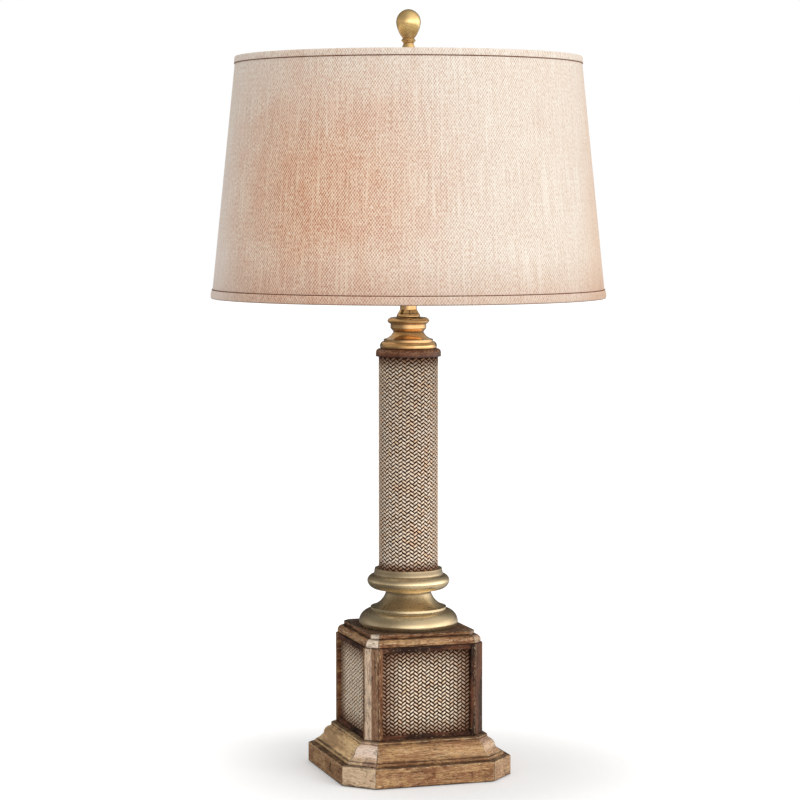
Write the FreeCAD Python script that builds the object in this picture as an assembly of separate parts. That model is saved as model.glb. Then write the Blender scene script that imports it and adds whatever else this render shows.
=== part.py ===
# Table lamp: a tapered drum shade, a woven column between metal turnings, and a plinth with cut corners.
# Lengths are millimetres. The origin is the centre of the underside, +Z is up and the front faces -Y.
# Heights are stacked: each piece stands on the one below it, from the felt pad to the finial.

import FreeCAD
import Part
import math
import os
from FreeCAD import Vector

UP = Vector(0, 0, 1)
AXIS_X = Vector(1, 0, 0)
AXIS_Y = Vector(0, 1, 0)
ORIGIN = Vector(0, 0, 0)

# Clearances shared by many pieces
bore_clearance = 0.25
moving_gap = 0.3
running_clearance = 0.06
overrun = 2.0
wire_flats = 8
quarter_turn_share = 0.207

# Rod that clamps the whole stack, with its nut and washer
rod_radius = 5.1
rod_bore_radius = 3.4
rod_end_gap = 4.0
nut_across_flats = 17.0
nut_height = 6.0
washer_half = 16.0
washer_thick = 2.0

# Plinth box: half its width over the flat faces, and the leg of each cut corner
box_half = 63.8
box_chamfer = 11.5
box_height = 95.7
stile_width = 5.0
panel_recess = 4.0
panel_thick = 2.5
carcass_wall = 8.0
rail_setback = 0.8
top_rail_height = 5.3
bottom_rail_height = 5.1

# Felt pad and base slab
felt_thick = 1.0
felt_inset = 3.0
slab_overhang = 27.4
slab_height = 20.2
slab_edge_break = 1.0

# Cord inlet through the back of the box
inlet_rise = 26.0
inlet_bore_radius = 4.0
inlet_barrel_radius = 6.0
inlet_lip = 1.8

# Moulding between the slab and the box: a step, a hollow, a quarter round and a top fillet
moulding_height = 22.3
moulding_foot_overhang = 20.4
moulding_foot_height = 3.2
moulding_roll_overhang = 12.2
moulding_roll_height = 9.8
moulding_hollow_share = -0.06
moulding_round_share = 0.19
moulding_fillet_overhang = 4.8
moulding_fillet_height = 4.1
moulding_edge_break = 0.8

# Ballast inside the box
ballast_half = 42.0
ballast_height = 14.0

# Rounded cap moulding and flat cap plate on the box
cap_height = 8.2
cap_setback = 1.6
cap_round = 5.6
plate_height = 4.2
plate_setback = 7.9
plate_edge_break = 0.5

# Pedestal, one casting: a large roll, a fillet, a deep hollow, a fillet, a smaller roll and a collar
foot_bottom_radius = 49.4
foot_radius = 51.8
foot_roll_height = 4.6
foot_low_share = 0.1
foot_height = 17.3
foot_high_share = 0.19
bell_fillet_radius = 39.5
bell_fillet_height = 2.8
bell_neck_radius = 23.5
bell_neck_height = 18.3
bell_hollow_share = -0.14
bell_top_radius = 25.1
bell_height = 21.7
cup_under_radius = 33.2
cup_roll_radius = 42.9
cup_roll_height = 8.3
cup_roll_share = 0.19
cup_shoulder_radius = 36.2
cup_shoulder_height = 15.0
cup_collar_radius = 35.0
cup_height = 21.4
cup_seat_depth = 5.0

# Column: a wooden tube and the woven wrap round it
column_length = 226.3
column_radius = 30.5
weave_thick = 1.7
column_wall = 9.0

# Wooden ring on the column
ring_height = 7.7
ring_radius = 33.8
ring_top_radius = 31.2
ring_round_height = 4.2
ring_round_share = 0.15

# Cap of the column, one casting: a roll, a fillet, a hollow, a fillet and an upper roll
crown_foot_radius = 28.7
crown_roll_radius = 27.4
crown_roll_height = 7.3
crown_roll_share = 0.2
crown_bead_radius = 25.7
crown_bead_height = 10.0
crown_neck_radius = 15.6
crown_neck_height = 17.8
crown_hollow_share = -0.13
crown_height = 21.3
collar_fillet_radius = 18.6
collar_fillet_height = 4.6
collar_roll_radius = 21.8
collar_roll_height = 7.7
collar_roll_share = 0.15
collar_top_radius = 17.6
collar_height = 11.3

# Neck that carries the harp saddle and the socket
neck_height = 14.5
neck_foot_radius = 12.0
neck_bead_radius = 11.0
neck_bead_height = 4.1
neck_bead_share = 0.15
neck_stem_radius = 8.7
neck_stem_height = 8.2

# Harp saddle: a strap bent up at both ends, narrowed to an ear above a shoulder
saddle_thick = 1.4
saddle_width = 13.0
saddle_bend_radius = 5.0
saddle_taper_height = 5.0
saddle_shoulder_height = 9.0
saddle_shoulder_width = 7.4
saddle_ear_height = 14.0
saddle_ear_width = 2.2

# Harp: one bent wire from ear to ear, with a threaded stud on top
harp_height = 241.3
harp_wire_radius = 1.8
harp_leg_offset = 27.0
harp_leg_straight = 33.0
harp_splay_deg = 11.0
harp_splay_radius = 80.0
harp_shoulder_radius = 48.0
harp_flat_gap = 0.15
stud_collar_across_flats = 14.0
stud_collar_thick = 2.4
stud_radius = 3.175
stud_length = 14.0

# Sleeves that lock the harp on the saddle
sleeve_radius = 3.3
sleeve_length = 15.0
sleeve_sides = 12

# Socket: cap, shell, body, screw shell and centre contact
socket_cap_hub_radius = 7.6
socket_cap_radius = 17.0
socket_cap_height = 13.0
socket_cap_lip = 0.9
socket_shell_wall = 0.7
socket_shell_length = 44.0
socket_body_radius = 13.9
socket_body_length = 18.0
screw_shell_wall = 0.5
screw_shell_length = 24.0
bulb_base_radius = 13.0
contact_length = 9.0
contact_width = 5.0
contact_height = 3.0

# Rotary switch on the socket
switch_drop = 8.0
switch_shaft_radius = 1.6
switch_shaft_depth = 6.0
switch_notch_gap = 1.0
switch_knob_gap = 3.0
switch_knob_radius = 4.6
switch_knob_length = 12.0
switch_knob_sides = 10

# Bulb: glass, screw base and tip
bulb_tip_radius = 4.6
bulb_cone_radius = 11.0
bulb_tip_height = 4.4
bulb_base_length = 20.0
bulb_neck_radius = 12.6
bulb_shoulder_radius = 21.5
bulb_shoulder_height = 28.0
bulb_globe_radius = 30.0
bulb_globe_height = 53.0
bulb_low_share = 0.083
bulb_height = 83.0
bulb_crown_radius = 2.0
bulb_high_share = 0.2
bulb_glass_thick = 1.0

# Shade: fabric bonded to a stiff liner, a steel strip inside each rim, the spider and the edge trims
shade_top_radius = 177.8
shade_bottom_radius = 203.2
shade_height = 245.8
shade_wall = 1.3
rim_strip_thick = 1.5
rim_strip_width = 3.6
rim_strip_gap = 0.05
trim_thick = 0.8
trim_top_height = 6.0
trim_bottom_height = 8.0
spider_arms = 3
spider_arm_radius = 1.6
spider_hub_radius = 13.0
spider_hub_thick = 1.6
spider_recess = 7.7
spider_bend_radius = 9.0
spider_bend_deg = 30.0
spider_first_arm_deg = 90.0

# Finial: a foot, a stem, a flared foot, a bead and the pear-shaped knob
finial_foot_radius = 9.4
finial_stem_radius = 7.0
finial_stem_height = 11.4
finial_flare_radius = 8.6
finial_flare_height = 14.2
finial_flare_share = 0.15
finial_waist_low_radius = 6.9
finial_waist_low_height = 17.6
finial_waist_radius = 5.1
finial_waist_height = 22.2
finial_bead_radius = 7.5
finial_bead_height = 25.1
finial_knob_low_radius = 5.9
finial_knob_low_height = 27.3
finial_knob_radius = 12.6
finial_knob_height = 43.0
finial_knob_low_share = 0.07
finial_knob_high_share = 0.195
finial_tip_radius = 1.5
finial_height = 57.0
finial_bore_depth = 13.0

# Heights of the stack, worked out from the pieces above
z_slab = felt_thick
z_moulding = z_slab + slab_height
z_box = z_moulding + moulding_height
z_inlet = z_box + inlet_rise
z_cap = z_box + box_height
z_plate = z_cap + cap_height
z_pedestal = z_plate + plate_height
z_seat = z_pedestal + foot_height + bell_height + cup_height - cup_seat_depth
z_ring = z_seat + column_length
z_crown = z_ring + ring_height
z_neck = z_crown + crown_height + collar_height
z_saddle = z_neck + neck_height
z_socket = z_saddle + saddle_thick
z_harp_top = z_socket + harp_height
z_hub = z_harp_top + moving_gap
z_finial = z_hub + spider_hub_thick + moving_gap
z_rim = z_hub + spider_hub_thick + spider_recess
z_shade = z_rim - shade_height

# Places and sizes that several pieces share
chamfer_distance = (2 * box_half - box_chamfer) / math.sqrt(2)
reach = 2 * (box_half + slab_overhang)
panel_half_width = box_half - box_chamfer - stile_width
panel_face = box_half - panel_recess
carcass_half = panel_face - panel_thick
bore_radius = rod_radius + bore_clearance
rod_bottom = z_cap - washer_thick - nut_height - rod_end_gap
z_shell = z_socket + socket_cap_height
rod_top = z_shell
shell_outer = socket_cap_radius - socket_cap_lip
z_screw_shell = z_shell + socket_body_length
z_switch = z_screw_shell - switch_drop
z_bulb_tip = z_screw_shell + contact_height + moving_gap
z_bulb_base = z_bulb_tip + bulb_tip_height
z_glass = z_bulb_base + bulb_base_length
saddle_half_span = harp_leg_offset - harp_flat_gap
z_shoulder = z_saddle + saddle_shoulder_height
z_leg = z_shoulder + moving_gap
flat_reach = 1 / math.cos(math.pi / wire_flats)
sleeve_bore_radius = harp_wire_radius * flat_reach + running_clearance


def bowed_edge(start, end, bow_share):
    """A line or an arc in the XZ plane. A positive share of its length bulges to the right of travel."""
    if bow_share == 0:
        return Part.LineSegment(start, end).toShape()
    chord = end - start
    middle = (start + end) * 0.5 + Vector(chord.z, 0, -chord.x) * bow_share
    return Part.Arc(start, middle, end).toShape()


def outline_face(outline):
    """A flat face in the XZ plane from points (x, z) or (x, z, bow share of the edge that ends there)."""
    points = [Vector(entry[0], 0, entry[1]) for entry in outline]
    bows = [entry[2] if len(entry) > 2 else 0 for entry in outline]
    edges = []
    for index, end in enumerate(points):
        start = points[index - 1]
        if (end - start).Length > 0:
            edges.append(bowed_edge(start, end, bows[index]))
    return Part.Face(Part.Wire(edges))


def lathe(outline, bottom=0.0):
    """Turns an outline of (radius, height) points about the lamp's axis and stands it at bottom."""
    solid = outline_face(outline).revolve(ORIGIN, UP, 360)
    solid.translate(UP * bottom)
    return solid


def ring_of(inner, outer, height, bottom):
    """A plain tube about the lamp's axis."""
    return lathe([(inner, 0), (outer, 0), (outer, height), (inner, height)], bottom)


def rod_of(radius, start, direction, length):
    """A round bar."""
    return Part.makeCylinder(radius, length, start, direction)


def octagon(outline, bottom=0.0):
    """A block whose eight sides carry one moulding, mitred at the corners.

    The outline lists (overhang past the box's faces, height) from the bottom edge to the top edge.
    """
    block = None
    for side in range(8):
        face_distance = chamfer_distance if side % 2 else box_half
        points = [(face_distance + entry[0], *entry[1:]) for entry in outline]
        points.append((-reach, outline[-1][1]))
        points.append((-reach, outline[0][1]))
        slab = outline_face(points).extrude(AXIS_Y * (2 * reach))
        slab.translate(AXIS_Y * -reach)
        slab.rotate(ORIGIN, UP, 45 * side)
        block = slab if block is None else block.common(slab)
    block.translate(UP * bottom)
    return block


def prism(sides, half_across_flats, height):
    """A many-sided bar standing on the ground."""
    corner = half_across_flats / math.cos(math.pi / sides)
    corners = []
    for side in range(sides + 1):
        turn = math.radians(360 * (side + 0.5) / sides)
        corners.append(Vector(math.cos(turn), math.sin(turn), 0) * corner)
    return Part.Face(Part.makePolygon(corners)).extrude(UP * height)


def box_between(low, high):
    """A block between two corners."""
    size = high - low
    return Part.makeBox(size.x, size.y, size.z, low)


def four_ways(solid):
    """The solid and its three copies a quarter turn apart."""
    copies = []
    for quarter in range(4):
        copy = solid.copy()
        copy.rotate(ORIGIN, UP, 90 * quarter)
        copies.append(copy)
    return copies


def drill(solid, radius, low, high):
    """The solid with a round hole down the lamp's axis, from height low to height high."""
    return solid.cut(rod_of(radius, UP * low, UP, high - low))


def through_bore(solid):
    """The solid with the rod's clearance hole right through it."""
    box = solid.BoundBox
    return drill(solid, bore_radius, box.ZMin - overrun, box.ZMax + overrun)


def bent_wire(edges, radius):
    """A wire bent along a chain of edges in the XZ plane, drawn with flats at its radius all round."""
    spine = Part.Wire(edges)
    start = spine.Edges[0].valueAt(spine.Edges[0].FirstParameter)
    direction = spine.Edges[0].tangentAt(spine.Edges[0].FirstParameter)
    sideways = direction.cross(AXIS_Y)
    corners = []
    for flat in range(wire_flats + 1):
        turn = math.radians(360 * (flat + 0.5) / wire_flats)
        spoke = AXIS_Y * math.cos(turn) + sideways * math.sin(turn)
        corners.append(start + spoke * (radius * flat_reach))
    return spine.makePipeShell([Part.makePolygon(corners)], True, False)


def felt_pad():
    """The pad under the slab."""
    edge = slab_overhang - felt_inset
    return octagon([(edge, 0), (edge, felt_thick)])


def base_slab():
    """The lowest block, with its top edge broken."""
    flat = slab_height - slab_edge_break
    outline = [(slab_overhang, 0), (slab_overhang, flat), (slab_overhang - slab_edge_break, slab_height)]
    return octagon(outline, z_slab)


def inlet_hole(solid):
    """The solid with the cord inlet's seat through its back."""
    return solid.cut(rod_of(inlet_barrel_radius, UP * z_inlet, AXIS_Y, reach))


def cord_bushing():
    """The bush that lines the cord's way through the back panel, proud of it by its lip."""
    depth = panel_face - carcass_half + carcass_wall + inlet_lip
    bush = ring_of(inlet_bore_radius, inlet_barrel_radius, depth, 0)
    bush.rotate(ORIGIN, AXIS_X, -90)
    bush.translate(Vector(0, carcass_half - carcass_wall, z_inlet))
    return bush


def rod_washer():
    """The square plate that spreads the nut's pull under the box's top board."""
    low = Vector(-washer_half, -washer_half, z_cap - washer_thick)
    return through_bore(box_between(low, Vector(washer_half, washer_half, z_cap)))


def rod_nut():
    """The hexagon nut that pulls the rod tight inside the box."""
    nut = prism(6, nut_across_flats / 2, nut_height)
    nut.translate(UP * (z_cap - washer_thick - nut_height))
    return drill(nut, rod_radius, z_box, z_cap)


def threaded_rod():
    """The hollow rod through every piece from the box to the socket cap."""
    return ring_of(rod_bore_radius, rod_radius, rod_top - rod_bottom, rod_bottom)


def base_moulding():
    """The stepped and rounded moulding that joins the slab to the box."""
    fillet_low = moulding_height - moulding_fillet_height
    outline = [
        (moulding_foot_overhang, 0),
        (moulding_foot_overhang, moulding_foot_height),
        (moulding_roll_overhang, moulding_roll_height, moulding_hollow_share),
        (moulding_fillet_overhang, fillet_low, moulding_round_share),
        (moulding_fillet_overhang, moulding_height - moulding_edge_break),
        (moulding_fillet_overhang - moulding_edge_break, moulding_height),
    ]
    return octagon(outline, z_moulding)


def ballast():
    """The square iron weight on the floor of the box."""
    low = Vector(-ballast_half, -ballast_half, z_box)
    return box_between(low, Vector(ballast_half, ballast_half, z_box + ballast_height))


def square_tube(half, wall, height, bottom):
    """A square tube standing on the height bottom."""
    outer = box_between(Vector(-half, -half, bottom), Vector(half, half, bottom + height))
    inner_half = half - wall
    low = Vector(-inner_half, -inner_half, bottom - overrun)
    high = Vector(inner_half, inner_half, bottom + height + overrun)
    return outer.cut(box_between(low, high))


def carcass():
    """The square tube behind the panels, which the posts and panels are fixed to."""
    return inlet_hole(square_tube(carcass_half, carcass_wall, box_height, z_box))


def corner_post():
    """The front left corner post: a cut corner with a stile on each side, wrapped round the carcass."""
    stile_end = box_half - box_chamfer - stile_width
    chamfer_end = box_half - box_chamfer
    plan = [
        (-stile_end, -box_half),
        (-chamfer_end, -box_half),
        (-box_half, -chamfer_end),
        (-box_half, -stile_end),
        (-carcass_half, -stile_end),
        (-carcass_half, -carcass_half),
        (-stile_end, -carcass_half),
    ]
    corners = [Vector(x, y, z_box) for x, y in plan + plan[:1]]
    return Part.Face(Part.makePolygon(corners)).extrude(UP * box_height)


def front_rail(height, bottom):
    """A rail across the front panel, between the stiles and set back from them."""
    low = Vector(-panel_half_width, -box_half + rail_setback, bottom)
    high = Vector(panel_half_width, -panel_face, bottom + height)
    return box_between(low, high)


def rails(height, bottom):
    """The same rail on all four faces."""
    return Part.makeCompound(four_ways(front_rail(height, bottom)))


def front_panel():
    """The woven panel on the box's front face."""
    low = Vector(-panel_half_width, -panel_face, z_box)
    high = Vector(panel_half_width, -carcass_half, z_cap)
    return box_between(low, high)


def cap_moulding():
    """The quarter-round board that covers the box."""
    low_side = cap_height - cap_round
    outline = [
        (-cap_setback, 0),
        (-cap_setback, low_side),
        (-cap_setback - cap_round, cap_height, quarter_turn_share),
    ]
    return through_bore(octagon(outline, z_cap))


def cap_plate():
    """The thin plate that the metal pedestal stands on."""
    edge = -plate_setback
    outline = [(edge, 0), (edge, plate_height - plate_edge_break), (edge - plate_edge_break, plate_height)]
    return through_bore(octagon(outline, z_plate))


def pedestal():
    """The cast pedestal, from its foot roll up to the collar that the column stands in."""
    bell = foot_height
    cup = bell + bell_height
    top = cup + cup_height
    seat = top - cup_seat_depth
    seat_radius = column_radius + bore_clearance
    outline = [
        (bore_radius, 0),
        (foot_bottom_radius, 0),
        (foot_radius, foot_roll_height, foot_low_share),
        (bell_fillet_radius, bell, foot_high_share),
        (bell_fillet_radius, bell + bell_fillet_height),
        (bell_neck_radius, bell + bell_neck_height, bell_hollow_share),
        (bell_top_radius, cup),
        (cup_under_radius, cup),
        (cup_roll_radius, cup + cup_roll_height, cup_roll_share),
        (cup_shoulder_radius, cup + cup_shoulder_height, cup_roll_share),
        (cup_collar_radius, top),
        (seat_radius, top),
        (seat_radius, seat),
        (bore_radius, seat),
    ]
    return lathe(outline, z_pedestal)


def column_tube():
    """The wooden tube inside the woven wrap."""
    core = column_radius - weave_thick
    return ring_of(core - column_wall, core, column_length, z_seat)


def column_weave():
    """The woven wrap round the column."""
    return ring_of(column_radius - weave_thick, column_radius, column_length, z_seat)


def column_ring():
    """The wooden ring that caps the column."""
    outline = [
        (bore_radius, 0),
        (ring_radius, 0),
        (ring_radius, ring_round_height),
        (ring_top_radius, ring_height, ring_round_share),
        (bore_radius, ring_height),
    ]
    return lathe(outline, z_ring)


def column_cap():
    """The cast cap, from the roll above the wooden ring to the upper roll under the neck."""
    collar = crown_height
    outline = [
        (bore_radius, 0),
        (crown_foot_radius, 0),
        (crown_roll_radius, crown_roll_height, crown_roll_share),
        (crown_bead_radius, crown_roll_height),
        (crown_bead_radius, crown_bead_height),
        (crown_neck_radius, crown_neck_height, crown_hollow_share),
        (collar_fillet_radius, collar),
        (collar_fillet_radius, collar + collar_fillet_height),
        (collar_roll_radius, collar + collar_roll_height, collar_roll_share),
        (collar_top_radius, collar + collar_height, collar_roll_share),
        (bore_radius, collar + collar_height),
    ]
    return lathe(outline, z_crown)


def neck():
    """The beaded neck under the harp saddle."""
    outline = [
        (bore_radius, 0),
        (neck_foot_radius, 0),
        (neck_bead_radius, neck_bead_height, neck_bead_share),
        (neck_stem_radius, neck_stem_height),
        (neck_stem_radius, neck_height),
        (bore_radius, neck_height),
    ]
    return lathe(outline, z_neck)


def saddle_side_view():
    """The saddle's width over its height, right across: a tapered strap, a shoulder and a narrow ear."""
    half_view = [
        (saddle_width / 2, 0),
        (saddle_width / 2, saddle_taper_height),
        (saddle_shoulder_width / 2, saddle_shoulder_height),
        (saddle_ear_width / 2, saddle_shoulder_height),
        (saddle_ear_width / 2, saddle_shoulder_height + saddle_ear_height),
    ]
    side_view = half_view + [(-y, z) for y, z in reversed(half_view)]
    corners = [Vector(-reach, y, z) for y, z in side_view + side_view[:1]]
    return Part.Face(Part.makePolygon(corners)).extrude(AXIS_X * (2 * reach))


def harp_saddle():
    """The strap under the socket, bent up at both ends into shouldered ears."""
    top = saddle_shoulder_height + saddle_ear_height
    outer = saddle_half_span
    inner = outer - saddle_thick
    bend = saddle_bend_radius
    outline = [
        (-outer, top),
        (-outer, bend),
        (-outer + bend, 0, quarter_turn_share),
        (outer - bend, 0),
        (outer, bend, quarter_turn_share),
        (outer, top),
        (inner, top),
        (inner, bend),
        (outer - bend, saddle_thick, -quarter_turn_share),
        (-outer + bend, saddle_thick),
        (-inner, bend, -quarter_turn_share),
        (-inner, top),
    ]
    strap = outline_face(outline).extrude(AXIS_Y * saddle_width)
    strap.translate(AXIS_Y * (-saddle_width / 2))
    strap = strap.common(saddle_side_view())
    strap.translate(UP * z_saddle)
    return through_bore(strap)


def turned(direction, angle):
    """A direction in the XZ plane turned left, from +X towards +Z, by an angle."""
    across = Vector(-direction.z, 0, direction.x)
    return direction * math.cos(angle) + across * math.sin(angle)


def tangent_arc(start, heading, radius, turn):
    """An arc in the XZ plane from start along heading, turning left by an angle.

    Returns the arc, its end and the heading there. A negative angle turns right.
    """
    side = turned(heading, math.copysign(math.pi / 2, turn))
    centre = start + side * radius
    middle = centre - turned(side, turn / 2) * radius
    end = centre - turned(side, turn) * radius
    return Part.Arc(start, middle, end).toShape(), end, turned(heading, turn)


def harp_half_path():
    """The right half of the harp's centre line, from the leg's foot to the middle of the top."""
    top = z_harp_top - stud_collar_thick - harp_wire_radius
    splay = math.radians(harp_splay_deg)
    foot = Vector(harp_leg_offset, 0, z_leg)
    leg_top = foot + UP * harp_leg_straight
    low_bend, splay_start, heading = tangent_arc(leg_top, UP, harp_splay_radius, -splay)
    rise = top - splay_start.z - harp_shoulder_radius * (1 + math.sin(splay))
    shoulder_start = splay_start + heading * (rise / math.cos(splay))
    around = math.pi / 2 + splay
    shoulder, top_start, heading = tangent_arc(shoulder_start, heading, harp_shoulder_radius, around)
    return [
        Part.LineSegment(foot, leg_top).toShape(),
        low_bend,
        Part.LineSegment(splay_start, shoulder_start).toShape(),
        shoulder,
        Part.LineSegment(top_start, Vector(0, 0, top)).toShape(),
    ]


def harp():
    """The bent wire, with half of each leg's end cut away to lie flat against the saddle's ear."""
    half = bent_wire(harp_half_path(), harp_wire_radius)
    flat_height = saddle_ear_height + moving_gap
    side = 2 * harp_wire_radius
    low = Vector(harp_leg_offset - side, -side, z_leg - overrun)
    high = Vector(harp_leg_offset + harp_flat_gap, side, z_leg + flat_height)
    half = half.cut(box_between(low, high))
    other = half.mirror(ORIGIN, AXIS_X)
    return half.fuse(other).removeSplitter()


def harp_stud():
    """The threaded stud on the harp, with the hexagon collar that the shade's hub rests on."""
    foot = z_harp_top - stud_collar_thick
    collar = prism(6, stud_collar_across_flats / 2, stud_collar_thick)
    collar.translate(UP * foot)
    return collar.fuse(rod_of(stud_radius, UP * foot, UP, stud_collar_thick + stud_length)).removeSplitter()


def harp_sleeve():
    """The faceted sleeve that slides down over the right ear and leg."""
    sleeve = drill(prism(sleeve_sides, sleeve_radius, sleeve_length), sleeve_bore_radius, 0, sleeve_length)
    sleeve.translate(Vector(harp_leg_offset, 0, z_leg))
    return sleeve


def socket_cap():
    """The cone-shaped cap screwed on the rod's top end, which the shell stands on."""
    outline = [
        (bore_radius, 0),
        (socket_cap_hub_radius, 0),
        (socket_cap_radius, socket_cap_height),
        (bore_radius, socket_cap_height),
    ]
    return lathe(outline, z_socket)


def socket_body():
    """The moulded body inside the socket, which holds the switch."""
    body = rod_of(socket_body_radius, UP * z_shell, UP, socket_body_length)
    shaft_end = socket_body_radius - switch_shaft_depth
    hole = rod_of(switch_shaft_radius + running_clearance, front_of_axis(shaft_end), AXIS_Y * -1, reach)
    return body.cut(hole)


def socket_shell():
    """The outer shell, with the notch in its lower edge that the switch shaft passes through."""
    shell = ring_of(shell_outer - socket_shell_wall, shell_outer, socket_shell_length, z_shell)
    half_notch = switch_shaft_radius + switch_notch_gap
    low = Vector(-half_notch, -reach, z_shell - overrun)
    return shell.cut(box_between(low, Vector(half_notch, 0, z_switch + half_notch)))


def screw_shell():
    """The screw shell that the bulb turns into."""
    inner = bulb_base_radius + moving_gap
    return ring_of(inner, inner + screw_shell_wall, screw_shell_length, z_screw_shell)


def centre_contact():
    """The sprung contact strip under the bulb's tip."""
    low = Vector(-contact_length / 2, -contact_width / 2, z_screw_shell)
    return box_between(low, Vector(contact_length / 2, contact_width / 2, z_screw_shell + contact_height))


def front_of_axis(distance):
    """A point on the switch's axis at a distance in front of the lamp's axis."""
    return Vector(0, -distance, z_switch)


def switch_knob():
    """The many-sided switch knob and its shaft, one moulding that turns in the body."""
    shaft_end = socket_body_radius - switch_shaft_depth + moving_gap
    near = socket_cap_radius + switch_knob_gap
    shaft = rod_of(switch_shaft_radius, front_of_axis(shaft_end), AXIS_Y * -1, near - shaft_end)
    knob = prism(switch_knob_sides, switch_knob_radius, switch_knob_length)
    knob.rotate(ORIGIN, AXIS_X, 90)
    knob.translate(front_of_axis(near))
    return knob.fuse(shaft)


def bulb_tip():
    """The insulated cone at the bulb's lower end, which ends in its contact."""
    return Part.makeCone(bulb_tip_radius, bulb_cone_radius, bulb_tip_height, UP * z_bulb_tip, UP)


def bulb_base():
    """The bulb's screw base."""
    return rod_of(bulb_base_radius, UP * z_bulb_base, UP, bulb_base_length)


def glass_blank(inset):
    """The glass's outline turned solid, smaller all round by an inset."""
    top = bulb_height - inset
    outline = [
        (0, 0),
        (bulb_neck_radius - inset, 0),
        (bulb_shoulder_radius - inset, bulb_shoulder_height),
        (bulb_globe_radius - inset, bulb_globe_height, bulb_low_share),
        (bulb_crown_radius, top, bulb_high_share),
        (0, top),
    ]
    return lathe(outline, z_glass)


def bulb_glass():
    """The glass globe, a thin shell open at the neck where the base closes it."""
    return glass_blank(0).cut(glass_blank(bulb_glass_thick))


def shade_radius(height, inset=0.0):
    """The shade's outer radius at a height above its lower edge, less an inset."""
    share = height / shade_height
    return shade_bottom_radius + (shade_top_radius - shade_bottom_radius) * share - inset


def shade_panel():
    """The tapered wall of the shade."""
    outline = [
        (shade_radius(0, shade_wall), 0),
        (shade_radius(0), 0),
        (shade_radius(shade_height), shade_height),
        (shade_radius(shade_height, shade_wall), shade_height),
    ]
    return lathe(outline, z_shade)


def trim(band_end, rim, fold):
    """An edge tape: a band round the outside, turned in over the rim to cover the steel strip.

    fold is +1 for the upper rim and -1 for the lower one.
    """
    over = rim + fold * trim_thick
    inner = shade_radius(rim, shade_wall + rim_strip_thick)
    outline = [
        (shade_radius(band_end), band_end),
        (shade_radius(band_end, -trim_thick), band_end),
        (shade_radius(over, -trim_thick), over),
        (inner, over),
        (inner, rim),
        (shade_radius(rim), rim),
    ]
    return lathe(outline, z_shade)


def strip_outer_radius(top):
    """The outer radius of a steel strip whose upper edge is at a height on the shade."""
    return shade_radius(top, shade_wall) - rim_strip_gap


def rim_strip(top):
    """A steel strip bent into a ring inside the liner, with its upper edge at a height on the shade."""
    outer = strip_outer_radius(top)
    return ring_of(outer - rim_strip_thick, outer, rim_strip_width, z_shade + top - rim_strip_width)


def top_ring():
    """The strip just under the shade's upper rim."""
    return rim_strip(shade_height)


def bottom_ring():
    """The strip just over the shade's lower rim."""
    return rim_strip(rim_strip_width)


def spider_arm():
    """One arm towards +X, which rises at its end to the top ring that it is welded to."""
    end_height = z_rim - rim_strip_width / 2
    ring_inner = strip_outer_radius(shade_height) - rim_strip_thick
    low = z_hub + spider_arm_radius
    turn = math.radians(spider_bend_deg)
    bend_run = spider_bend_radius * math.sin(turn)
    bend_rise = spider_bend_radius * (1 - math.cos(turn))
    slope_run = (end_height - low - bend_rise) / math.tan(turn)
    bend_start = Vector(ring_inner - slope_run - bend_run, 0, low)
    bend, bend_end, heading = tangent_arc(bend_start, AXIS_X, spider_bend_radius, turn)
    path = [
        Part.LineSegment(Vector(spider_hub_radius - overrun, 0, low), bend_start).toShape(),
        bend,
        Part.LineSegment(bend_end, bend_end + heading * spider_bend_radius * 2).toShape(),
    ]
    inside_ring = rod_of(ring_inner, UP * z_saddle, UP, z_finial)
    return bent_wire(path, spider_arm_radius).common(inside_ring)


def spider():
    """The hub that the finial clamps, and its arms."""
    fitting = ring_of(stud_radius + moving_gap, spider_hub_radius, spider_hub_thick, z_hub)
    arm = spider_arm()
    for index in range(spider_arms):
        copy = arm.copy()
        copy.rotate(ORIGIN, UP, spider_first_arm_deg + 360 * index / spider_arms)
        fitting = fitting.fuse(copy)
    return fitting


def finial():
    """The turned knob that clamps the shade's hub on the stud."""
    bore = stud_radius + running_clearance
    outline = [
        (bore, 0),
        (finial_foot_radius, 0),
        (finial_stem_radius, finial_stem_height),
        (finial_flare_radius, finial_flare_height),
        (finial_waist_low_radius, finial_waist_low_height, finial_flare_share),
        (finial_waist_radius, finial_waist_height),
        (finial_bead_radius, finial_bead_height),
        (finial_knob_low_radius, finial_knob_low_height),
        (finial_knob_radius, finial_knob_height, finial_knob_low_share),
        (finial_tip_radius, finial_height, finial_knob_high_share),
        (0, finial_height),
        (0, finial_bore_depth),
        (bore, finial_bore_depth),
    ]
    return lathe(outline, z_finial)


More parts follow.
